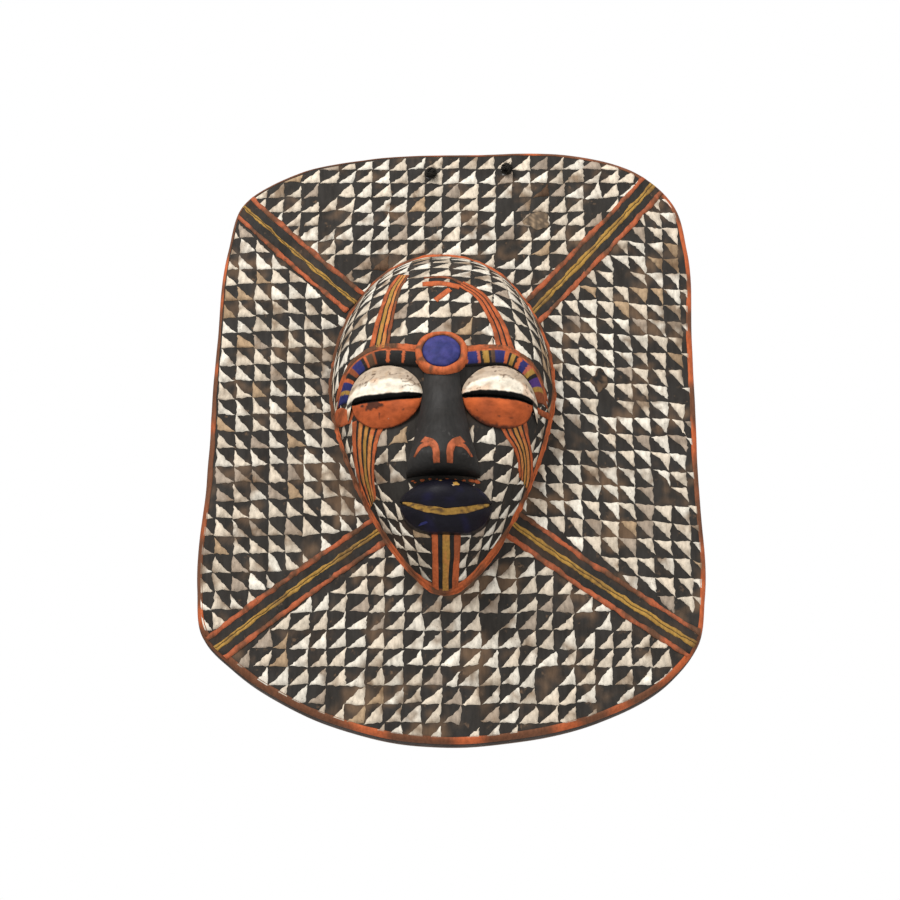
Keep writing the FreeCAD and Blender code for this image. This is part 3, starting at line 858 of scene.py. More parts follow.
def relief_piece(name, uv, height, sink, material, nodes, colours):
    """A solid standing on the face over a grid of (u, v), from height down to sink inside the face."""
    u, v = uv[..., 0], uv[..., 1]
    top = to_frame(u, v, height(u, v))
    low = to_frame(u, v, face_height(u, v) - sink)
    vertices, faces = grid_solid(top, low)
    paint = np.vstack([colours.reshape(-1, 3), np.tile(SOOT, (u.size, 1))])
    piece(name, vertices, faces, material, nodes, paint, merge=0.02)


def lid_paint(u, v, upper):
    """Cream on the upper lid, greyer paint and painted shade above its crease and painted shadow along the
    slit, or terracotta on the lower, both scuffed.
    """
    across = (np.abs(u) - EYE_U) / EYE_HALF_WIDTH
    up = np.abs(v - slit_v(u)) / (LID_RISE if upper else LID_DROP)
    ragged = 0.06 * rough(u, 0, v, 5, 3.3) + 0.04 * rough(u, 0, v, 1.7, 1.1)
    if not upper:
        base = blend_colour(LID_RUST, LID_ORANGE, 0.55 + 0.6 * rough(u, 0, v, 11, 6.6))
        bare = hill(u + 49, v, 1.3, 0, -36.5, 8, 4)
        scuff = smooth_step(0.35, 0.6, rough(u, 0, v, 3.5, 9.1) + bare - 0.15)
        rim = smooth_step(0.93, 1.03, np.hypot(across, up) + ragged)
        return blend_colour(base, SOOT, np.maximum(0.85 * scuff, 0.8 * rim))
    # Above the crease: greyer paint, made darker again as painted shade of the upward-turned facet
    grey = smooth_step(-0.05, 0.07, up - lid_crease(across) + ragged)
    base = blend_colour(LID_WHITE, LID_GREY_SHADED, 0.92 * grey)
    ochre = 0.8 * smooth_step(0.0, 0.5, rough(u, 0, v, 7, 4.9) - 1.2 * up + 0.30)
    dirt = smooth_step(0.15, 0.55, rough(u, 0, v, 6, 1.9) + 0.5 * rough(u, 0, v, 2, 3.9))
    dirt = 0.45 * dirt * (0.3 + 0.7 * grey)
    flaked = rough(u, 0, v, 3.0, 7.4) + 0.6 * np.exp(-up / 0.06) - 0.25 * (1 - grey)
    chips = 0.85 * smooth_step(0.46, 0.6, flaked)
    cracked = rough(u, 0, v, 14, 2.2) > 0.05
    cracks = 0.85 * smooth_step(0.06, 0.0, np.abs(rough(u, 0, 1.6 * v, 9, 6.2))) * cracked
    # A near-black band along the upper lid's slit edge: painted shadow under the overhanging lid
    edge = 0.95 * smooth_step(0.03, 0.0, up + 0.5 * ragged - 0.045)
    for colour, share in ((AMBER, 0.55 * ochre), (TAN, dirt), (UMBER, chips), (UMBER, cracks), (SOOT, edge)):
        base = blend_colour(base, colour, share)
    return base


def make_lid(side, name, upper):
    """One eyelid, from the slit to its ragged outer edge. The upper one wraps the slit's outer end."""
    across = -np.cos(math.pi * np.linspace(0, 1, 90)) * 0.998
    outward = side * across
    half = EYE_HALF_WIDTH * (1.0 if upper else 0.91)
    u = side * (EYE_U - (0.0 if upper else 1.6)) + half * across
    arch = np.sqrt(1 - across**2)
    start = (0.9 if upper else 1.2) + 0.5 * rough(u, 0, 0, 4, 2.0 + side) + 0.35 * rough(u, 0, 0, 1.6, 5.0)
    start = start * np.clip(3 * arch, 0.1, 1)
    wave = 1.0 * rough(u, 0, 0, 6, 7.0 + side) + 0.45 * rough(u, 0, 0, 2.2, 1.0)
    slit = slit_v(u)
    if upper:
        wrap = 10.0 * smooth_step(0.80, 0.98, outward)
        low = slit + start - wrap
        high = slit + (EYE_V + LID_RISE - slit_v(side * EYE_U) + wave) * arch
        high = np.maximum(high, low + 0.3)
    else:
        low = slit - start
        high = slit - (slit_v(side * EYE_U) - EYE_V + LID_DROP + 0.4 * wave) * arch
        high = np.minimum(high, low - 0.3)
    uv = spread(u, low, high, ease(34))
    colours = lid_paint(uv[..., 0], uv[..., 1], upper)
    # The two rows along the slit are painted near-black: the slit's black paint darkened further as painted
    # shade in the deep slit
    colours[:2] = SLIT_SHADE_BLACK
    node = f"{'upper' if upper else 'lower'}_eyelid_{name}"
    relief_piece(f"{node}_carved", uv, lid_height, 1.5, LID_PAINT, [node], colours)


def make_nose():
    """The black nose, rounded over at its base."""
    share = np.linspace(0, 1, 84) ** 0.9
    v = NOSE_TOP + (NOSE_BASE - NOSE_TOP) * share
    across = np.sin(math.pi / 2 * np.linspace(-1, 1, 72))
    u = nose_half_width(share)[:, None] * across[None, :]
    uv = np.stack([u, np.broadcast_to(v[:, None], u.shape)], axis=-1)
    grey = 0.5 * smooth_step(-0.1, 0.6, rough(u, 0, uv[..., 1], 14, 3.7))
    colours = blend_colour(NOSE_BLACK, NOSE_GREY, grey)
    relief_piece("nose_carved", uv, nose_height, 1.5, NOSE_PAINT, ["nose"], colours)


def make_lips():
    """Both lips and the mustard strip between them."""
    across = -np.cos(math.pi * np.linspace(0, 1, 80)) * 0.997
    half = MOUTH_HALF_WIDTH - 0.8
    u = MOUTH_U + half * across
    for sign, level, node in ((1, LIP_TOP_V, "upper_lip"), (-1, LIP_BASE_V, "lower_lip")):
        inner = mouth_line(u) + sign * MOUTH_LINE_HALF
        corner = mouth_line(MOUTH_U + half) + sign * MOUTH_LINE_HALF
        outer = corner + (level - sign * 0.8 - corner) * (1 - np.abs(across) ** 2.6) ** 0.62
        uv = spread(u, inner, outer, ease(36))
        blue = smooth_step(0.1, 0.7, rough(uv[..., 0], 0, uv[..., 1], 12, 8.8))
        colours = blend_colour(NAVY, NAVY_BLUE, 0.8 * blue)
        relief_piece(f"{node}_carved", uv, lip_height, 1.5, LIP_PAINT, [node], colours)
    share = np.linspace(0, 1, 9)
    strip_u = MOUTH_U + 0.93 * (u - MOUTH_U)
    wobble = 0.3 * rough(strip_u, 0, 0, 4, 5.0)
    thick = MOUTH_LINE_HALF * 1.1 * (1 - across**4) ** 0.8 + 0.12 * rough(strip_u, 0, 0, 3, 8.0) + 0.15
    way = 2 * share[:, None] - 1
    v = (mouth_line(strip_u) + wobble)[None, :] + thick[None, :] * way
    uv = np.stack([np.broadcast_to(strip_u, v.shape), v], axis=-1)
    worn = smooth_step(0.15, 0.5, rough(uv[..., 0], 0, 3 * v, 5, 2.4) + 0.35 * np.abs(way) ** 3)
    colours = blend_colour(MUSTARD, UMBER, 0.8 * worn)
    relief_piece(
        "mouth_strip_carved", uv, lambda a, b: lip_height(a, b) + 0.5, 1.0, STRIPE_PAINT,
        ["mouth_strip"], colours,
    )


# Painted blocks of each brow, from the boss outwards: (length, colour)
BROW_BLOCKS = {
    "left": [
        (1.6, ORANGE), (8.6, SOOT), (2.0, ORANGE), (8.6, SOOT), (2.6, ORANGE), (7.6, SOOT), (1.8, RUST),
        (4.4, UMBER), (1.8, ORANGE), (2.4, SOOT), (6.5, BLUE), (3.2, RUST), (3.0, SOOT), (2.2, ORANGE),
        (4.6, BLUE), (2.0, MUSTARD), (5.5, BLUE), (9.0, UMBER),
    ],
    "right": [
        (2.2, ORANGE), (7.2, BLUE), (2.2, PINK), (1.8, SOOT), (4.2, MUSTARD), (1.6, SOOT), (2.8, UMBER),
        (7.0, BLUE), (2.6, ORANGE), (1.6, SOOT), (3.2, MUSTARD), (1.6, SOOT), (3.0, ORANGE),
        (4.5, BLUE), (2.6, PINK), (3.2, MUSTARD), (2.2, SOOT), (5.0, VIOLET), (3.0, MUSTARD), (9.0, RUST),
    ],
}


def make_brow(side, name):
    """One brow: a low roll with painted blocks, an orange line along its top and black between."""
    line = open_curve(BROW_LINE, 120)
    t = np.linspace(-1, 1, 15)
    grid = line[:, None, :] + line_normals(line)[:, None, :] * BROW_HALF_WIDTH * t[None, :, None]
    grid[..., 0] *= side

    def roll(u, v):
        return face_height(u, v) + BROW_STAND * np.sqrt(np.clip(1.06 - t[None, :] ** 2, 0, 1))

    along = distances(line)
    colours = np.zeros((*grid.shape[:2], 3))
    ends = np.cumsum([length for length, _ in BROW_BLOCKS[name]])
    for row in range(grid.shape[0]):
        for column in range(grid.shape[1]):
            place = along[row] + 0.5 * noise.noise(Vector((0.2 * row, column, 3.0)))
            block = min(int(np.searchsorted(ends, place)), len(ends) - 1)
            colour = BROW_BLOCKS[name][block][1]
            if t[column] > 0.6:
                colour = blend_colour(ORANGE, RUST, 0.5 + 1.2 * noise.noise(Vector((row / 6, 2.0, side))))
            elif t[column] < -0.85:
                colour = SOOT
            colours[row, column] = colour
    relief_piece(
        f"brow_{name}_carved", grid, roll, 1.5, STRIPE_PAINT, [f"brow_{name}"], colours,
    )


def make_boss():
    """The ring and the blue disc inside it, tilted a little upwards."""
    root = to_frame(0.0, BOSS_V, face_height(0.0, BOSS_V))
    out = np.array([0, -math.cos(BOSS_TILT), math.sin(BOSS_TILT)])
    right = np.array([1.0, 0, 0])
    up = np.cross(right, out)
    turn = np.linspace(0, 2 * math.pi, 120, endpoint=False)
    wobble = 0.35 * rough(9 * np.cos(turn), 9 * np.sin(turn), 0, 4, 2.6)

    def ring(radius, stand):
        reach = (radius + wobble * min(1.0, radius / BOSS_DISC_RADIUS))[:, None]
        return root + reach * (np.cos(turn)[:, None] * right + np.sin(turn)[:, None] * up) + out * stand

    outer, inner = BOSS_RING_RADIUS, BOSS_DISC_RADIUS
    profile = [
        (outer - 1.0, -4.5), (outer, -2.0), (outer, 1.5), (outer - 0.5, 3.2), (outer - 1.6, 4.3),
        (outer - 2.8, 4.7), (outer - 4.0, 4.5), (inner + 0.4, 4.0), (inner, 3.2), (inner - 0.3, 2.0),
        (inner - 1.0, -4.5),
    ]
    vertices = np.vstack([ring(r, s) for r, s in profile])
    crease = np.repeat([0, 0, 0, 0, 0, 0.1, 0.3, 0.6, 0.8, 0.8, 0.8], 120)
    shade = smooth_step(0.05, 0.6, rough_xz(vertices, 5, 6.2) + crease - 0.1)
    paint = blend_colour(ORANGE, UMBER, 0.8 * shade)
    faces = ring_faces(len(profile), 120, (True, True))
    piece("boss_ring_carved", vertices, faces, STRIPE_PAINT, ["boss_ring"], paint)
    rings = [(inner - 0.2, -4.5), (inner - 0.1, 3.3), (inner - 0.5, 4.2), (inner - 1.2, 4.6)]
    for share in np.linspace(0.9, 0.04, 14):
        groove = 0.45 * math.exp(-(((share - 0.66) / 0.04) ** 2))
        rings.append(((inner - 1.0) * share, 4.6 + 1.2 * (1 - share * share) - groove))
    vertices = np.vstack([ring(r, s) for r, s in rings])
    paint = blend_colour(BLUE, PALE_BLUE, smooth_step(-0.3, 0.5, rough_xz(vertices, 6, 1.9)))
    faces = ring_faces(len(rings), 120, (True, True))
    piece("boss_disc_carved", vertices, faces, BOSS_PAINT, ["boss_disc"], paint)


# ---------------------------------------------------------------- painted cells

def hand_cell(corners, right_angle, chance, gap=0.2):
    """A brushed three-sided cell: two straight sides and a hollow long side, all a little unsteady."""
    order = {"ll": 0, "lr": 1, "ur": 2, "ul": 3}[right_angle]
    root, first, last = corners[order], corners[order - 1], corners[(order + 1) % 4]
    centre = (root + first + last) / 3
    size = np.linalg.norm(first - last)
    keep = 1 - gap * 2 / size * chance.uniform(0.4, 1.8)
    root, first, last = (
        centre + (p - centre) * keep + np.array([chance.gauss(0, 0.45), chance.gauss(0, 0.45)])
        for p in (root, first, last)
    )
    first = first + (root - first) * max(0.0, chance.gauss(0.04, 0.07))
    last = last + (root - last) * max(0.0, chance.gauss(0.04, 0.07))
    hollow = chance.gauss(0.07, 0.14)
    pull = (first + last) / 2 * (1 - hollow) + root * hollow
    bow_a, bow_b = chance.gauss(0, 0.04), chance.gauss(0, 0.04)
    side_a = (root + last) / 2 + (first - root) * bow_a
    side_b = (root + first) / 2 + (last - root) * bow_b
    points = []
    bends = ((root, side_a, last, 6), (last, pull, first, 10), (first, side_b, root, 6))
    for start, bend, end, count in bends:
        for t in np.linspace(0, 1, count, endpoint=False):
            points.append((1 - t) ** 2 * start + 2 * t * (1 - t) * bend + t * t * end)
    points = np.array(points)
    seed = chance.uniform(0, 90)
    points[:, 0] += 0.06 * size * rough_flat(points, 2.4, seed)
    points[:, 1] += 0.06 * size * rough(points[:, 1], points[:, 0], 0, 2.4, seed + 5)
    return points


def cell_colour(chance, x, z):
    """Mostly cream, some chalky, tan or smoked, in drifts, with brown stains over several cells."""
    drift = noise.noise(Vector((x / 45, z / 45, 4.0)))
    pick = chance.random() + 0.45 * drift
    for limit, colour in ((1.15, UMBER), (1.0, TAN), (0.86, STONE), (0.35, CREAM), (-9, CHALK)):
        if pick > limit:
            break
    base = np.asarray(colour) * chance.uniform(0.80, 1.0)
    seed = chance.uniform(0, 9)

    def paint(points):
        wide = rough_flat(points, 21, 5.5) + 0.6 * rough_flat(points, 6, seed)
        stained = blend_colour(base, (0.150, 0.095, 0.055), 0.85 * smooth_step(0.08, 0.72, wide))
        fine = rough_flat(points, 2.4, seed)
        return stained * (1 - 0.22 * smooth_step(0.0, 0.6, fine))[:, None]

    return paint


# The diagonal bands, from the rim of the face to the board's corner, as (x, z)
BANDS = {
    "upper_left": [(-72.0, -116.0), (-118.0, -74.0), (-164.0, -29.0)],
    "upper_right": [(60.0, -127.0), (112.0, -68.0), (164.0, -7.0)],
    "lower_left": [(-47.0, -297.0), (-108.0, -342.0), (-170.0, -392.0)],
    "lower_right": [(43.0, -293.0), (108.0, -341.0), (177.0, -388.0)],
}
BAND_HALF_WIDTH = 11.2
MUSTARD_HALF_WIDTH = {"upper_left": 1.4, "upper_right": 2.3, "lower_left": 2.0, "lower_right": 2.2}


def band_level(name, x):
    """The band's own z at x, carried on past its ends."""
    (x0, z0), (x1, z1) = BANDS[name][0], BANDS[name][-1]
    return z0 + (z1 - z0) * (x - x0) / (x1 - x0)


def near_band(x, z):
    """Whether a cell with its middle at (x, z) would be hidden by a band."""
    for line in BANDS.values():
        (x0, z0), (x1, z1) = line[0], line[-1]
        off = ((x - x0) * (z1 - z0) - (z - z0) * (x1 - x0)) / math.hypot(x1 - x0, z1 - z0)
        same_side = (x - x0) * (x1 - x0) > 0
        if same_side and abs(off) < BAND_HALF_WIDTH - 3.0:
            return True
    return False


def sector_of(x, z):
    """Which of the four fields between the bands holds (x, z)."""
    side = "left" if x < FACE_X else "right"
    if z > band_level(f"upper_{side}", x):
        return "top"
    if z < band_level(f"lower_{side}", x):
        return "bottom"
    return side


# Each field's cells: corner that holds the right angle, width, height,
# slope of the rows, lean of the columns
FIELDS = {
    "top": ("lr", 13.9, 12.9, 0.0, 0.0),
    "left": ("ll", 12.8, 13.6, 0.035, -0.03),
    "right": ("ur", 12.9, 13.6, -0.055, 0.02),
    "bottom": ("lr", 13.3, 13.1, 0.0, 0.0),
}


def board_cells():
    """Every painted cell of the board, as patches."""
    chance = random.Random(11)
    shapes = []
    for field, (angle, wide, tall, slope, lean) in FIELDS.items():
        def corner(i, j):
            x, z = FACE_X + i * wide, FACE_Z + j * tall
            x, z = x + lean * (z - FACE_Z), z + slope * (x - FACE_X)
            shift = Vector((i * 0.9, j * 0.9, 7.0 + len(field)))
            return np.array([x + 2.2 * noise.noise(shift), z + 2.0 * noise.noise(shift + Vector((9, 4, 1)))])
        for j in range(-22, 18):
            for i in range(-16, 17):
                corners = [corner(i, j), corner(i + 1, j), corner(i + 1, j + 1), corner(i, j + 1)]
                middle = sum(corners) / 4
                turn, distance = polar(middle)
                if near_band(*middle):
                    continue
                if sector_of(*middle) != field or not rim_reach(turn) - 2 < distance < edge_reach(turn) + 2:
                    continue
                if chance.random() < 0.02:
                    continue
                polygon = hand_cell(corners, angle, chance)
                colour = cell_colour(chance, *middle)
                shapes.append((fit_between(polygon), colour))
    return [shape for shape in shapes if area(shape[0]) > 9.0]


def fit_between(polygon):
    """Moves a cell's points in from the board's edge and out from the face's rim."""
    turn, distance = polar(polygon)
    return at_distance(turn, np.clip(distance, rim_reach(turn) + 1.2, edge_reach(turn) - 4.2))


def at_distance(turn, distance):
    """(x, z) in a direction and at a distance from the face's centre."""
    return np.stack([FACE_X + distance * np.cos(turn), FACE_Z + distance * np.sin(turn)], axis=1)


def area(polygon):
    """A polygon's area."""
    x, y = polygon[:, 0], polygon[:, 1]
    return 0.5 * abs(np.dot(x, np.roll(y, -1)) - np.dot(y, np.roll(x, -1)))


# ---------------------------------------------------------------- measuring along the face's surface

class Developed:
    """Distances along the face's surface, across and up, and the way back to (u, v)."""

    STEP = 1.0

    def __init__(self):
        self.u = np.arange(-88, 89, self.STEP)
        self.v = np.arange(-164, 122, self.STEP)
        grid_u, grid_v = np.meshgrid(self.u, self.v)
        height = dome(grid_u, grid_v, DOME_HEIGHT) + modelling(grid_u, grid_v)
        slope_v, slope_u = np.gradient(height, self.STEP)
        self.across = self.sum_from_zero(np.hypot(1, slope_u), 1, self.u)
        self.up = self.sum_from_zero(np.hypot(1, slope_v), 0, self.v)

    def sum_from_zero(self, speed, axis, ticks):
        """The running sum of speed along an axis, 0 where that axis's own tick is 0."""
        total = np.cumsum(speed, axis=axis) * self.STEP
        zero = int(np.argmin(np.abs(ticks)))
        return total - np.take(total, [zero], axis=axis)

    def read(self, table, u, v):
        """The table's value at (u, v), between its ticks."""
        a = np.clip((u - self.u[0]) / self.STEP, 0, len(self.u) - 1.001)
        b = np.clip((v - self.v[0]) / self.STEP, 0, len(self.v) - 1.001)
        i, j = a.astype(int), b.astype(int)
        p, q = a - i, b - j
        return (
            table[j, i] * (1 - p) * (1 - q) + table[j, i + 1] * p * (1 - q)
            + table[j + 1, i] * (1 - p) * q + table[j + 1, i + 1] * p * q
        )

    def back(self, s, t):
        """(u, v) of the point that lies s across and t up along the surface."""
        u, v = np.clip(s, -60, 60).astype(float), np.clip(t, -100, 80).astype(float)
        for _ in range(60):
            error_s = self.read(self.across, u, v) - s
            error_t = self.read(self.up, u, v) - t
            slope_s = self.read(self.across, u + 1, v) - self.read(self.across, u - 1, v)
            slope_t = self.read(self.up, u, v + 1) - self.read(self.up, u, v - 1)
            u = np.clip(u - 0.6 * error_s / np.maximum(slope_s / 2, 1), -86, 86)
            v = np.clip(v - 0.6 * error_t / np.maximum(slope_t / 2, 1), -162, 119)
        return np.stack([u, v], axis=-1)


FACE_CELL = (15.6, 13.6)


def face_cell_angle(u, v):
    """Which corner holds the right angle, by region of the face."""
    if v > -8:
        return "ll" if u > 44 else "lr"
    if u < 0:
        return "lr" if v > -78 else "ll"
    return "lr"


def face_cells():
    """The painted cells of the face, spaced along its surface."""
    chance = random.Random(23)
    developed = Developed()
    shapes = []
    wide, tall = FACE_CELL

    def corner(i, j):
        shift = Vector((i * 0.8, j * 0.8, 31.0))
        s = (i + 0.42) * wide + 2.2 * noise.noise(shift)
        t = (j + 0.2) * tall + 2.0 * noise.noise(shift + Vector((5, 8, 2)))
        return np.array([s, t])

    for j in range(-20, 16):
        for i in range(-11, 11):
            corners = [corner(i, j), corner(i + 1, j), corner(i + 1, j + 1), corner(i, j + 1)]
            middle = developed.back(*(sum(corners) / 4)[:, None])[0]
            behind_eyes = abs(middle[0]) < 67 and -50 < middle[1] < 4
            hidden = behind_eyes or abs(middle[0]) < 27 and -98 < middle[1] < -84
            if egg(*middle) > 0.992 or hidden or chance.random() < 0.02:
                continue
            polygon = hand_cell(corners, face_cell_angle(*middle), chance, 0.45)
            uv = developed.back(polygon[:, 0], polygon[:, 1])
            rho = egg(uv[:, 0], uv[:, 1])
            uv *= np.minimum(1, 0.985 / np.maximum(rho, 0.01))[:, None]
            if area(uv) > 6.0:
                shapes.append((uv, cell_colour(chance, *middle)))
    return shapes


# ---------------------------------------------------------------- stripes

def stripe(line, left, right, seed, step=2.2, unsteady=0.35):
    """A ragged ribbon along a line, from left to right of it. Both may change along the line."""
    count = max(5, int(distances(line)[-1] / step))
    path = open_curve(line, count) if len(line) > 2 else np.linspace(line[0], line[-1], count)
    normal = line_normals(path)
    share = np.linspace(0, 1, count)
    sides = []
    for number, offset in enumerate((left, right)):
        start, end = offset if isinstance(offset, tuple) else (offset, offset)
        wobble = 1.5 * rough_flat(path, 9, seed + number) + 0.9 * rough_flat(path, 2.5, seed + number + 3)
        sides.append(path + normal * (start + (end - start) * share + unsteady * wobble)[:, None])
    return np.vstack([sides[0], sides[1][::-1]])


def band_stripes():
    """The four diagonal bands: black ground, orange edges and a double mustard line."""
    grounds, lines = [], []

    def band_stripe(line, left, right, seed):
        """A stripe of a band, kept on the board."""
        ribbon = stripe(line, left, right, seed, 2.0, 0.8)
        turn, distance = polar(ribbon)
        return at_distance(turn, np.clip(distance, rim_reach(turn) + 0.5, edge_reach(turn) - 2.2))

    for number, (name, line) in enumerate(BANDS.items()):
        seed = 10.0 * number
        half, inner = BAND_HALF_WIDTH, MUSTARD_HALF_WIDTH[name]
        orange = patchy(DULL_ORANGE, UMBER, 15, 0.9, seed, 0.12)
        mustard = patchy(MUSTARD, UMBER, 14, 0.6, seed + 1, -0.1)
        ground = patchy(np.asarray(BLACK) * 0.9, UMBER, 24, 0.35, seed + 2, -0.1)
        grounds.append((band_stripe(line, half - 1, -half + 1, seed), ground))
        lines.append((band_stripe(line, half, half - 3.6, seed + 1), orange))
        lines.append((band_stripe(line, -half + 3.6, -half, seed + 2), orange))
        lines.append((band_stripe(line, inner, 0.25, seed + 3), mustard))
        lines.append((band_stripe(line, -0.25, -inner, seed + 4), mustard))
    return grounds, lines


def face_stripes():
    """The stripes on forehead, cheeks and chin, as a dark ground and the coloured lines over it."""
    grounds, lines = [], []
    orange, amber = patchy(ORANGE, RUST, 7, 0.8, 1.0), patchy(AMBER, ORANGE, 7, 0.9, 2.0)
    mustard, rust = patchy(MUSTARD, AMBER, 7, 0.7, 3.0), patchy(RUST, UMBER, 7, 0.9, 4.0)

    def group(line, width, stripes, seed):
        """Stripes across a width (start, end), each (from, to, paint) as shares of it."""
        half = tuple(w / 2 for w in width)
        grounds.append((stripe(line, half, tuple(-h for h in half), seed, 1.8), np.asarray(SOOT) * 1.2))
        for number, (start, end, paint) in enumerate(stripes):
            left = tuple(h * (1 - 2 * start) for h in half)
            right = tuple(h * (1 - 2 * end) for h in half)
            lines.append((stripe(line, left, right, seed + number, 1.6, 0.28), paint))

    group([(-44.5, 8), (-41, 29), (-38, 44), (-34, 60), (-28, 74)], (14.0, 9.0), [
        (0.0, 0.24, orange), (0.32, 0.52, mustard), (0.60, 0.78, amber), (0.84, 1.0, rust),
    ], 40.0)
    group([(46, 5), (42, 21), (36.5, 34.5), (28, 49.5), (14, 60)], (12.5, 6.5), [
        (0.0, 0.26, orange), (0.36, 0.60, orange), (0.70, 1.0, orange),
    ], 50.0)
    lines.append((stripe([(-14, 59.5), (0, 59.8), (13, 56.5)], 2.4, -2.2, 61.0), orange))
    lines.append((stripe([(-13, 66.5), (3, 66.5), (16, 60)], 0.8, -0.9, 62.0), rust))
    lines.append((stripe([(-4.4, 43.6), (6, 54)], 1.9, -1.9, 63.0), orange))
    five = [
        (0.0, 0.15, orange), (0.23, 0.37, amber), (0.45, 0.57, mustard), (0.66, 0.78, amber),
        (0.86, 1.0, orange),
    ]
    group([(-51.5, -43), (-54, -54), (-55, -67), (-54, -80), (-50.5, -94)], (26.0, 5.0), five[::-1], 70.0)
    group([(48, -41), (52, -53), (56.5, -61), (58.5, -69), (58, -79)], (23.0, 9.0), five, 80.0)
    group([(1.3, -120), (1.0, -140), (0.0, -156)], (20.5, 17.0), [
        (0.0, 0.22, orange), (0.37, 0.62, mustard), (0.78, 1.0, orange),
    ], 90.0)
    lines.append((stripe([(62, -31.5), (68, -30), (74.5, -26.5), (80, -21)], 1.6, -1.5, 95.0), orange))
    corner = [(-80, -22), (-75, -27), (-70, -33), (-64, -37)]
    lines.append((stripe(corner, (3.0, 4.5), (-3.5, -3.0), 96.0), orange))
    for side in (-1, 1):
        above = [(side * (u + 0.11 * max(0, u - 40)), v + 7.8 - 0.05 * max(0, u - 40)) for u, v in BROW_LINE]
        fade = patchy(ORANGE, UMBER, 13, 0.95, 7.0 + side, 0.15)
        lines.append((stripe(above, (2.2, 1.2), (-2.6, -2.0), 97.0 + side, 1.8, 0.4), fade))
    return grounds, lines


def nose_hooks():
    """The orange hook over each wing of the nose."""
    rusty = patchy(DULL_ORANGE, RUST, 5, 0.9, 5.0)
    shapes = []
    for side in (-1, 1):
        main = [(side * u, v) for u, v in ((4.4, -89), (4.8, -82), (7.5, -75.5), (13.5, -71.0))]
        tail = [(side * u, v) for u, v in ((8.5, -75.5), (14.0, -77.5), (19.5, -84.0))]
        for line, ends in ((main, (2.0, 3.0)), (tail, (2.2, 0.7))):
            shapes.append((stripe(line, ends, tuple(-e for e in ends), 20.0 + side, 1.4, 0.35), rusty))
    return shapes


def blot(x, y, wide, tall, seed):
    """A ragged oval."""
    turn = np.linspace(0, 2 * math.pi, 18, endpoint=False)
    reach = 1 + 0.45 * rough(2 * np.cos(turn), 2 * np.sin(turn), 0, 1.4, seed)
    return np.stack([x + wide * reach * np.cos(turn), y + tall * reach * np.sin(turn)], axis=1)


def specks_under_nose():
    """Drips of orange along the joint of nose and muzzle."""
    chance = random.Random(8)
    shapes = []
    for u in (-22, -19, -14.5, -10, -4, 3, 8, 13.5, 19, 23):
        size = chance.uniform(0.5, 1.5)
        place = u + chance.uniform(-1, 1), -92.4 - chance.uniform(0, 1.6)
        shapes.append((blot(*place, 1.5 * size, 0.8 * size, chance.uniform(0, 9)), ORANGE))
    return shapes


def lip_chips():
    """Small losses in the lips' dark paint."""
    return [
        (blot(8.5, -101.5, 2.0, 1.6, 1.0), np.asarray(MUSTARD) * 1.3),
        (blot(6.5, -103.2, 0.8, 0.7, 2.0), TAN),
        (blot(-14.0, -124.5, 3.2, 0.6, 3.0), BLUE), (blot(-2.0, -98.5, 0.9, 0.5, 4.0), MUSTARD),
    ]


def make_rim_line():
    """The orange bead painted over the joint of face and board."""
    count = 520
    angle = full_turn(count)
    reach = egg_reach(angle)
    c, s = np.cos(angle), np.sin(angle)
    width = 1 + 0.45 * rough(60 * c, 60 * s, 0, 9, 3.0) + 0.35 * rough(60 * c, 60 * s, 0, 2.5, 1.0)
    width = width * (1 + 0.25 * smooth_step(-0.6, -1.0, s))
    rings = []
    for out, stand in ((2.3, -0.6), (2.1, 0.15), (1.4, 0.6), (0.5, 0.9)):
        uv = ((reach + out * width) * c, (reach + out * width) * s)
        rings.append(to_frame(*uv, np.full(count, stand) - board_waves(FACE_X + uv[0], FACE_Z + uv[1])))
    surface = on_relief(face_height)
    for share, lift in ((0.997, 0.7), (0.994, 0.55), (0.990, 0.3), (0.989, -0.6)):
        drawn = 1 - (1 - share) * width
        rings.append(surface(np.stack([drawn * reach * c, drawn * reach * s], axis=1), lift))
    vertices = np.vstack(rings)
    faces = looped_faces(len(rings), count)
    dark_side = 0.35 * smooth_step(0.3, -0.8, (vertices[:, 0] - FACE_X) / FACE_HALF_WIDTH)
    fade = smooth_step(-0.1, 0.4, rough(*vertices.T, 14, 5.1) + dark_side)
    paint = blend_colour(ORANGE, UMBER, 0.85 * fade)
    piece("rim_line", vertices, faces, STRIPE_PAINT, colours=paint)


def make_border_line():
    """The orange line along the board's rounded front edge."""
    angle = full_turn(BOARD_AROUND)
    c, s = np.cos(angle), np.sin(angle)
    inner_wave = 0.7 * rough(60 * c, 60 * s, 0, 5, 6.0) + 0.4 * rough(60 * c, 60 * s, 0, 2, 2.0)
    right_or_low = np.maximum(smooth_step(-0.3, 0.6, c), smooth_step(0.3, -0.6, s))
    broad = 2.0 + 2.4 * right_or_low + 0.7 * smooth_step(0, -0.8, c)
    rings = []
    for share, lift in ((0.0, -0.5), (0.0, 0.28), (0.3, 0.3), (0.65, 0.3), (1.0, 0.3), (1.02, -0.5)):
        inset = 0.35 + share * (broad + inner_wave * 0.7)
        ring = board_ring(inset, 0.0)
        ring[:, 1] = -BOARD_THICK + edge_drop(inset) + board_waves(ring[:, 0], ring[:, 2]) - lift
        rings.append(ring)
    vertices = np.vstack(rings)
    faces = looped_faces(len(rings), BOARD_AROUND)
    dark = 0.3 * smooth_step(-330, -430, vertices[:, 2]) + 0.55 * smooth_step(-60, 0, vertices[:, 2])
    dark = dark + 0.35 * smooth_step(0, -150, vertices[:, 0])
    fade = smooth_step(-0.15, 0.45, rough_xz(vertices, 21, 8.4) + dark)
    paint = blend_colour(ORANGE, UMBER, 0.85 * fade)
    piece("border_line", vertices, faces, STRIPE_PAINT, colours=paint)


# ---------------------------------------------------------------- twine

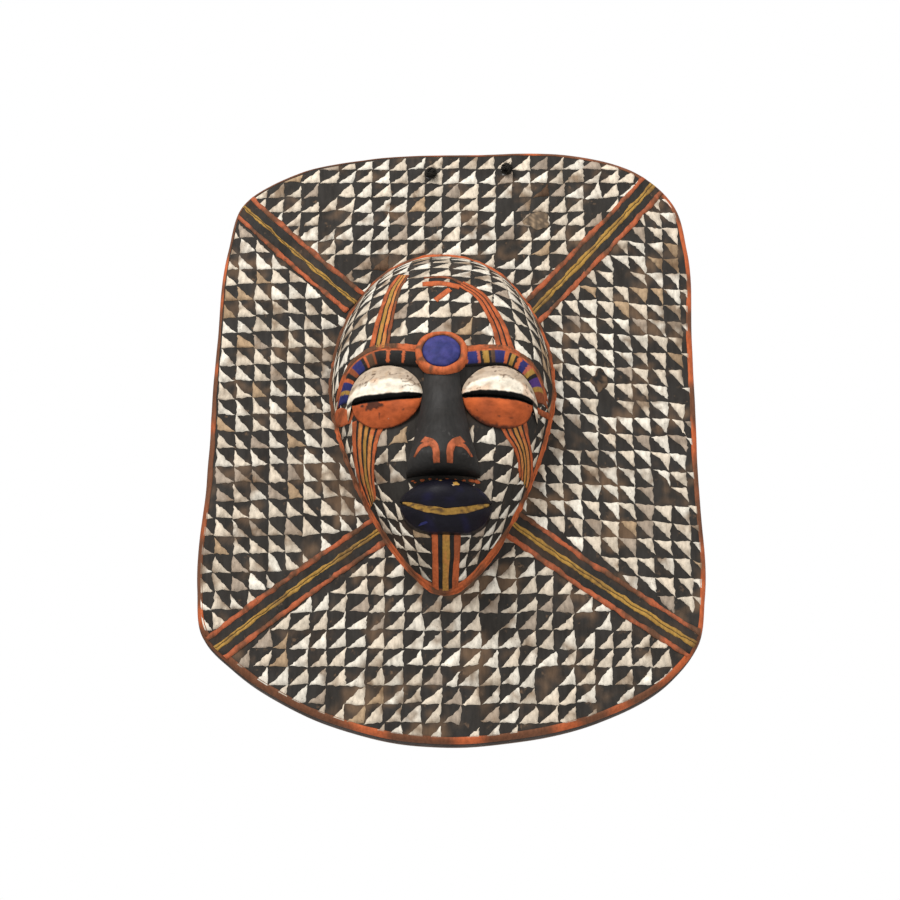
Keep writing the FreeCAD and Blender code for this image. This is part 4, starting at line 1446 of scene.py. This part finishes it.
def tube(p, radius, around, twist=0.0, strands=1):
    """Vertices and faces of a tube along points, or of several strands twisted about them."""
    tangent = unit(np.gradient(p, axis=0))
    normal = np.zeros_like(p)
    first = np.cross(tangent[0], (0.3, 0.5, 0.8))
    normal[0] = first / np.linalg.norm(first)
    for k in range(1, len(p)):
        n = normal[k - 1] - tangent[k] * np.dot(normal[k - 1], tangent[k])
        normal[k] = n / np.linalg.norm(n)
    side = np.cross(tangent, normal)
    along = distances(p)
    vertices, faces = [], []
    strand_radius = radius if strands == 1 else radius * 0.54
    offset = 0.0 if strands == 1 else radius - strand_radius
    turn = np.linspace(0, 2 * math.pi, around, endpoint=False)
    for strand in range(strands):
        phase = twist * along + 2 * math.pi * strand / strands
        centre = p + offset * (np.cos(phase)[:, None] * normal + np.sin(phase)[:, None] * side)
        start = len(vertices) * around
        for k in range(len(p)):
            ring = centre[k] + strand_radius * (
                np.cos(turn)[:, None] * normal[k] + np.sin(turn)[:, None] * side[k]
            )
            vertices.append(ring)
        faces += [tuple(start + i for i in f) for f in ring_faces(len(p), around, (True, True))]
    return np.vstack(vertices), faces


def route_points(route, count):
    """Points read along the smooth curve that a route's points control."""
    curve = bpy.data.curves.new("route", "CURVE")
    curve.dimensions = "3D"
    curve.resolution_u = 16
    spline = curve.splines.new("NURBS")
    spline.points.add(len(route) - 1)
    for point, place in zip(spline.points, route):
        point.co = (*place, 1.0)
    spline.order_u = 3
    spline.use_endpoint_u = True
    holder = add_object("route", curve)
    graph = bpy.context.evaluated_depsgraph_get()
    mesh = bpy.data.meshes.new_from_object(holder.evaluated_get(graph))
    points = np.array([v.co[:] for v in mesh.vertices])
    bpy.data.objects.remove(holder)
    return evenly(points, count)


def make_cord(knots):
    """The loop of three-strand twine on the back."""
    route = [(x * MM, CORD_Y * MM, z * MM) for x, z in CORD_ROUTE]
    path = route_points(route, 160)
    vertices, faces = tube(path / MM, CORD_DIAMETER / 2, 8, 0.9, 3)
    cord = piece(
        "hanging_cord_twine", vertices, faces, TWINE, ["hanging_cord"], body="cord_loop",
    )
    length = float(distances(path)[-1])
    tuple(route[0])


def make_knot(hole, name, seed):
    """A fuzzy knot in front of a hole, the cord's end in the hole and a few loose fibres."""
    x, z = hole
    chance = random.Random(seed)
    centre = np.array([x, -BOARD_THICK - KNOT_STAND, z])
    vertices, faces = [], []

    def add(points, radius, around, twist=0.0, strands=1):
        new, quads = tube(points, radius, around, twist, strands)
        start = sum(len(v) for v in vertices)
        vertices.append(new)
        faces.extend(tuple(start + i for i in f) for f in quads)

    for _ in range(4):
        axis = Vector([chance.uniform(-1, 1) for _ in range(3)]).normalized()
        other = axis.orthogonal().normalized()
        third = axis.cross(other)
        swing = np.linspace(0, 1.85 * math.pi, 40)
        reach = KNOT_RADIUS - CORD_DIAMETER / 2 - 0.4
        loop = centre + reach * (
            np.cos(swing)[:, None] * np.array(other) + np.sin(swing)[:, None] * np.array(third) * 0.9
        )
        loop[:, 1] = np.minimum(loop[:, 1], -BOARD_THICK - 0.4)
        add(loop, CORD_DIAMETER / 2, 7, 0.9, 3)
    end = CORD_Y - CORD_DIAMETER / 2 - 0.3
    shaft = np.stack([np.full(24, x), np.linspace(-BOARD_THICK - 2, end, 24), np.full(24, z)], axis=1)
    add(shaft, CORD_DIAMETER / 2, 7, 0.9, 3)
    for _ in range(70):
        way = Vector([chance.gauss(0, 1), -abs(chance.gauss(0, 1)) * 0.7, chance.gauss(0, 1)]).normalized()
        t = np.linspace(0, 1, 6)[:, None]
        bend = np.array([chance.gauss(0, 0.7), chance.gauss(0, 0.3), chance.gauss(0, 0.7)])
        start = centre + np.array(way) * (KNOT_RADIUS - 1.6)
        hair = start + np.array(way) * t * chance.uniform(1.2, 3.0) + bend * t * t
        hair[:, 1] = np.minimum(hair[:, 1], -BOARD_THICK - 0.2)
        add(hair, 0.1, 3)
    node = f"cord_knot_{name}"
    return piece(f"{node}_twine", np.vstack(vertices), faces, TWINE, [node])


# ---------------------------------------------------------------- camera, light and stage

def aim(obj, place, target):
    """Puts an object at a place and turns its -Z towards a target, with +Z up."""
    obj.location = place
    obj.rotation_euler = (Vector(target) - Vector(place)).to_track_quat("-Z", "Y").to_euler()


def make_camera():
    """The view looks up at the hanging mask from below."""
    data = bpy.data.cameras.new("camera")
    data.lens = CAMERA_LENS
    data.sensor_width = 36.0
    data.clip_end = 20.0
    camera = add_object("camera", data)
    climb = math.radians(CAMERA_CLIMB)
    place = Vector(CAMERA_TARGET) + Vector((0, -math.cos(climb), -math.sin(climb))) * CAMERA_DISTANCE
    aim(camera, place, CAMERA_TARGET)
    bpy.context.scene.camera = camera


def make_light(name, place, size, power, colour=(1.0, 1.0, 1.0)):
    """A square soft light."""
    data = bpy.data.lights.new(name, "AREA")
    data.shape = "SQUARE"
    data.size = size
    data.energy = power
    data.color = colour
    aim(add_object(name, data), place, LIGHT_TARGET)


def make_stage():
    """A pale floor far below the hanging mask, a near-white world and soft lights."""
    world = bpy.data.worlds.new("studio")
    bpy.context.scene.world = world
    world.use_nodes = True
    background = world.node_tree.nodes["Background"]
    background.inputs["Color"].default_value = (1.0, 1.0, 1.0, 1.0)
    background.inputs["Strength"].default_value = 1.0
    mesh = bpy.data.meshes.new("floor")
    square = ((-1, -1), (1, -1), (1, 1), (-1, 1))
    corners = [(x * FLOOR_REACH, y * FLOOR_REACH, FLOOR_LEVEL) for x, y in square]
    mesh.from_pydata(corners, [], [(0, 1, 2, 3)])
    floor = add_object("floor", mesh)
    shader = Shader("floor_paper")
    grain = shader.noise(4.0, 2)
    colour = shader.mix(grain, (0.86, 0.86, 0.86), (0.90, 0.90, 0.90))
    mesh.materials.append(shader.finish(colour, 0.9, grain, 0.0002, 0.1))
    make_light("key", (-0.7, -1.5, 1.0), 0.8, 48.0, (1.0, 0.985, 0.96))
    make_light("fill", (1.5, -1.3, 0.1), 1.2, 10.0)
    bpy.context.scene.view_settings.view_transform = "Standard"


# ---------------------------------------------------------------- the mask

make_camera()
make_stage()
make_board()
make_face()
for side, name in ((-1, "left"), (1, "right")):
    make_lid(side, name, True)
    make_lid(side, name, False)
    make_brow(side, name)
make_nose()
make_lips()
make_boss()
band_grounds, band_lines = band_stripes()
face_grounds, face_lines = face_stripes()
wood_marks = [
    (blot(112.0, -181.0, 6.0, 9.5, 5.0), patchy(SOOT, SMOKED, 6, 0.8, 2.0)),
    (blot(68.2, -43.8, 10.0, 8.0, 8.0), patchy((0.085, 0.062, 0.042), TAN, 3, 0.55, 3.0, -0.1)),
]
on_face, on_nose, on_lips = on_relief(face_height), on_relief(nose_height), on_relief(lip_height)
patches("board_cells", board_cells(), on_board, 0.25, CELL_PAINT, 4.0)
patches("face_cells", face_cells(), on_face, 0.25, CELL_PAINT, 2.0)
patches("band_grounds", band_grounds, on_board, 0.4, BOARD_PAINT, 4.0)
patches("band_lines", band_lines, on_board, 0.6, STRIPE_PAINT, 4.0)
patches("face_stripe_grounds", face_grounds, on_face, 0.4, BOARD_PAINT, 1.6)
patches("face_stripes", face_lines, on_face, 0.6, STRIPE_PAINT, 1.6)
patches("nose_hooks", nose_hooks(), on_nose, 0.3, STRIPE_PAINT, 1.5)
patches("wood_knot", wood_marks, on_board, 0.35, BOARD_PAINT, 2.0)
patches("nose_specks", specks_under_nose(), on_face, 0.5, STRIPE_PAINT, 1.0)
patches("lip_chips", lip_chips(), on_lips, 0.12, STRIPE_PAINT, 1.0, 0.3)
make_rim_line()
make_border_line()
make_cord([make_knot(HOLES[0], "left", 40), make_knot(HOLES[1], "right", 41)])
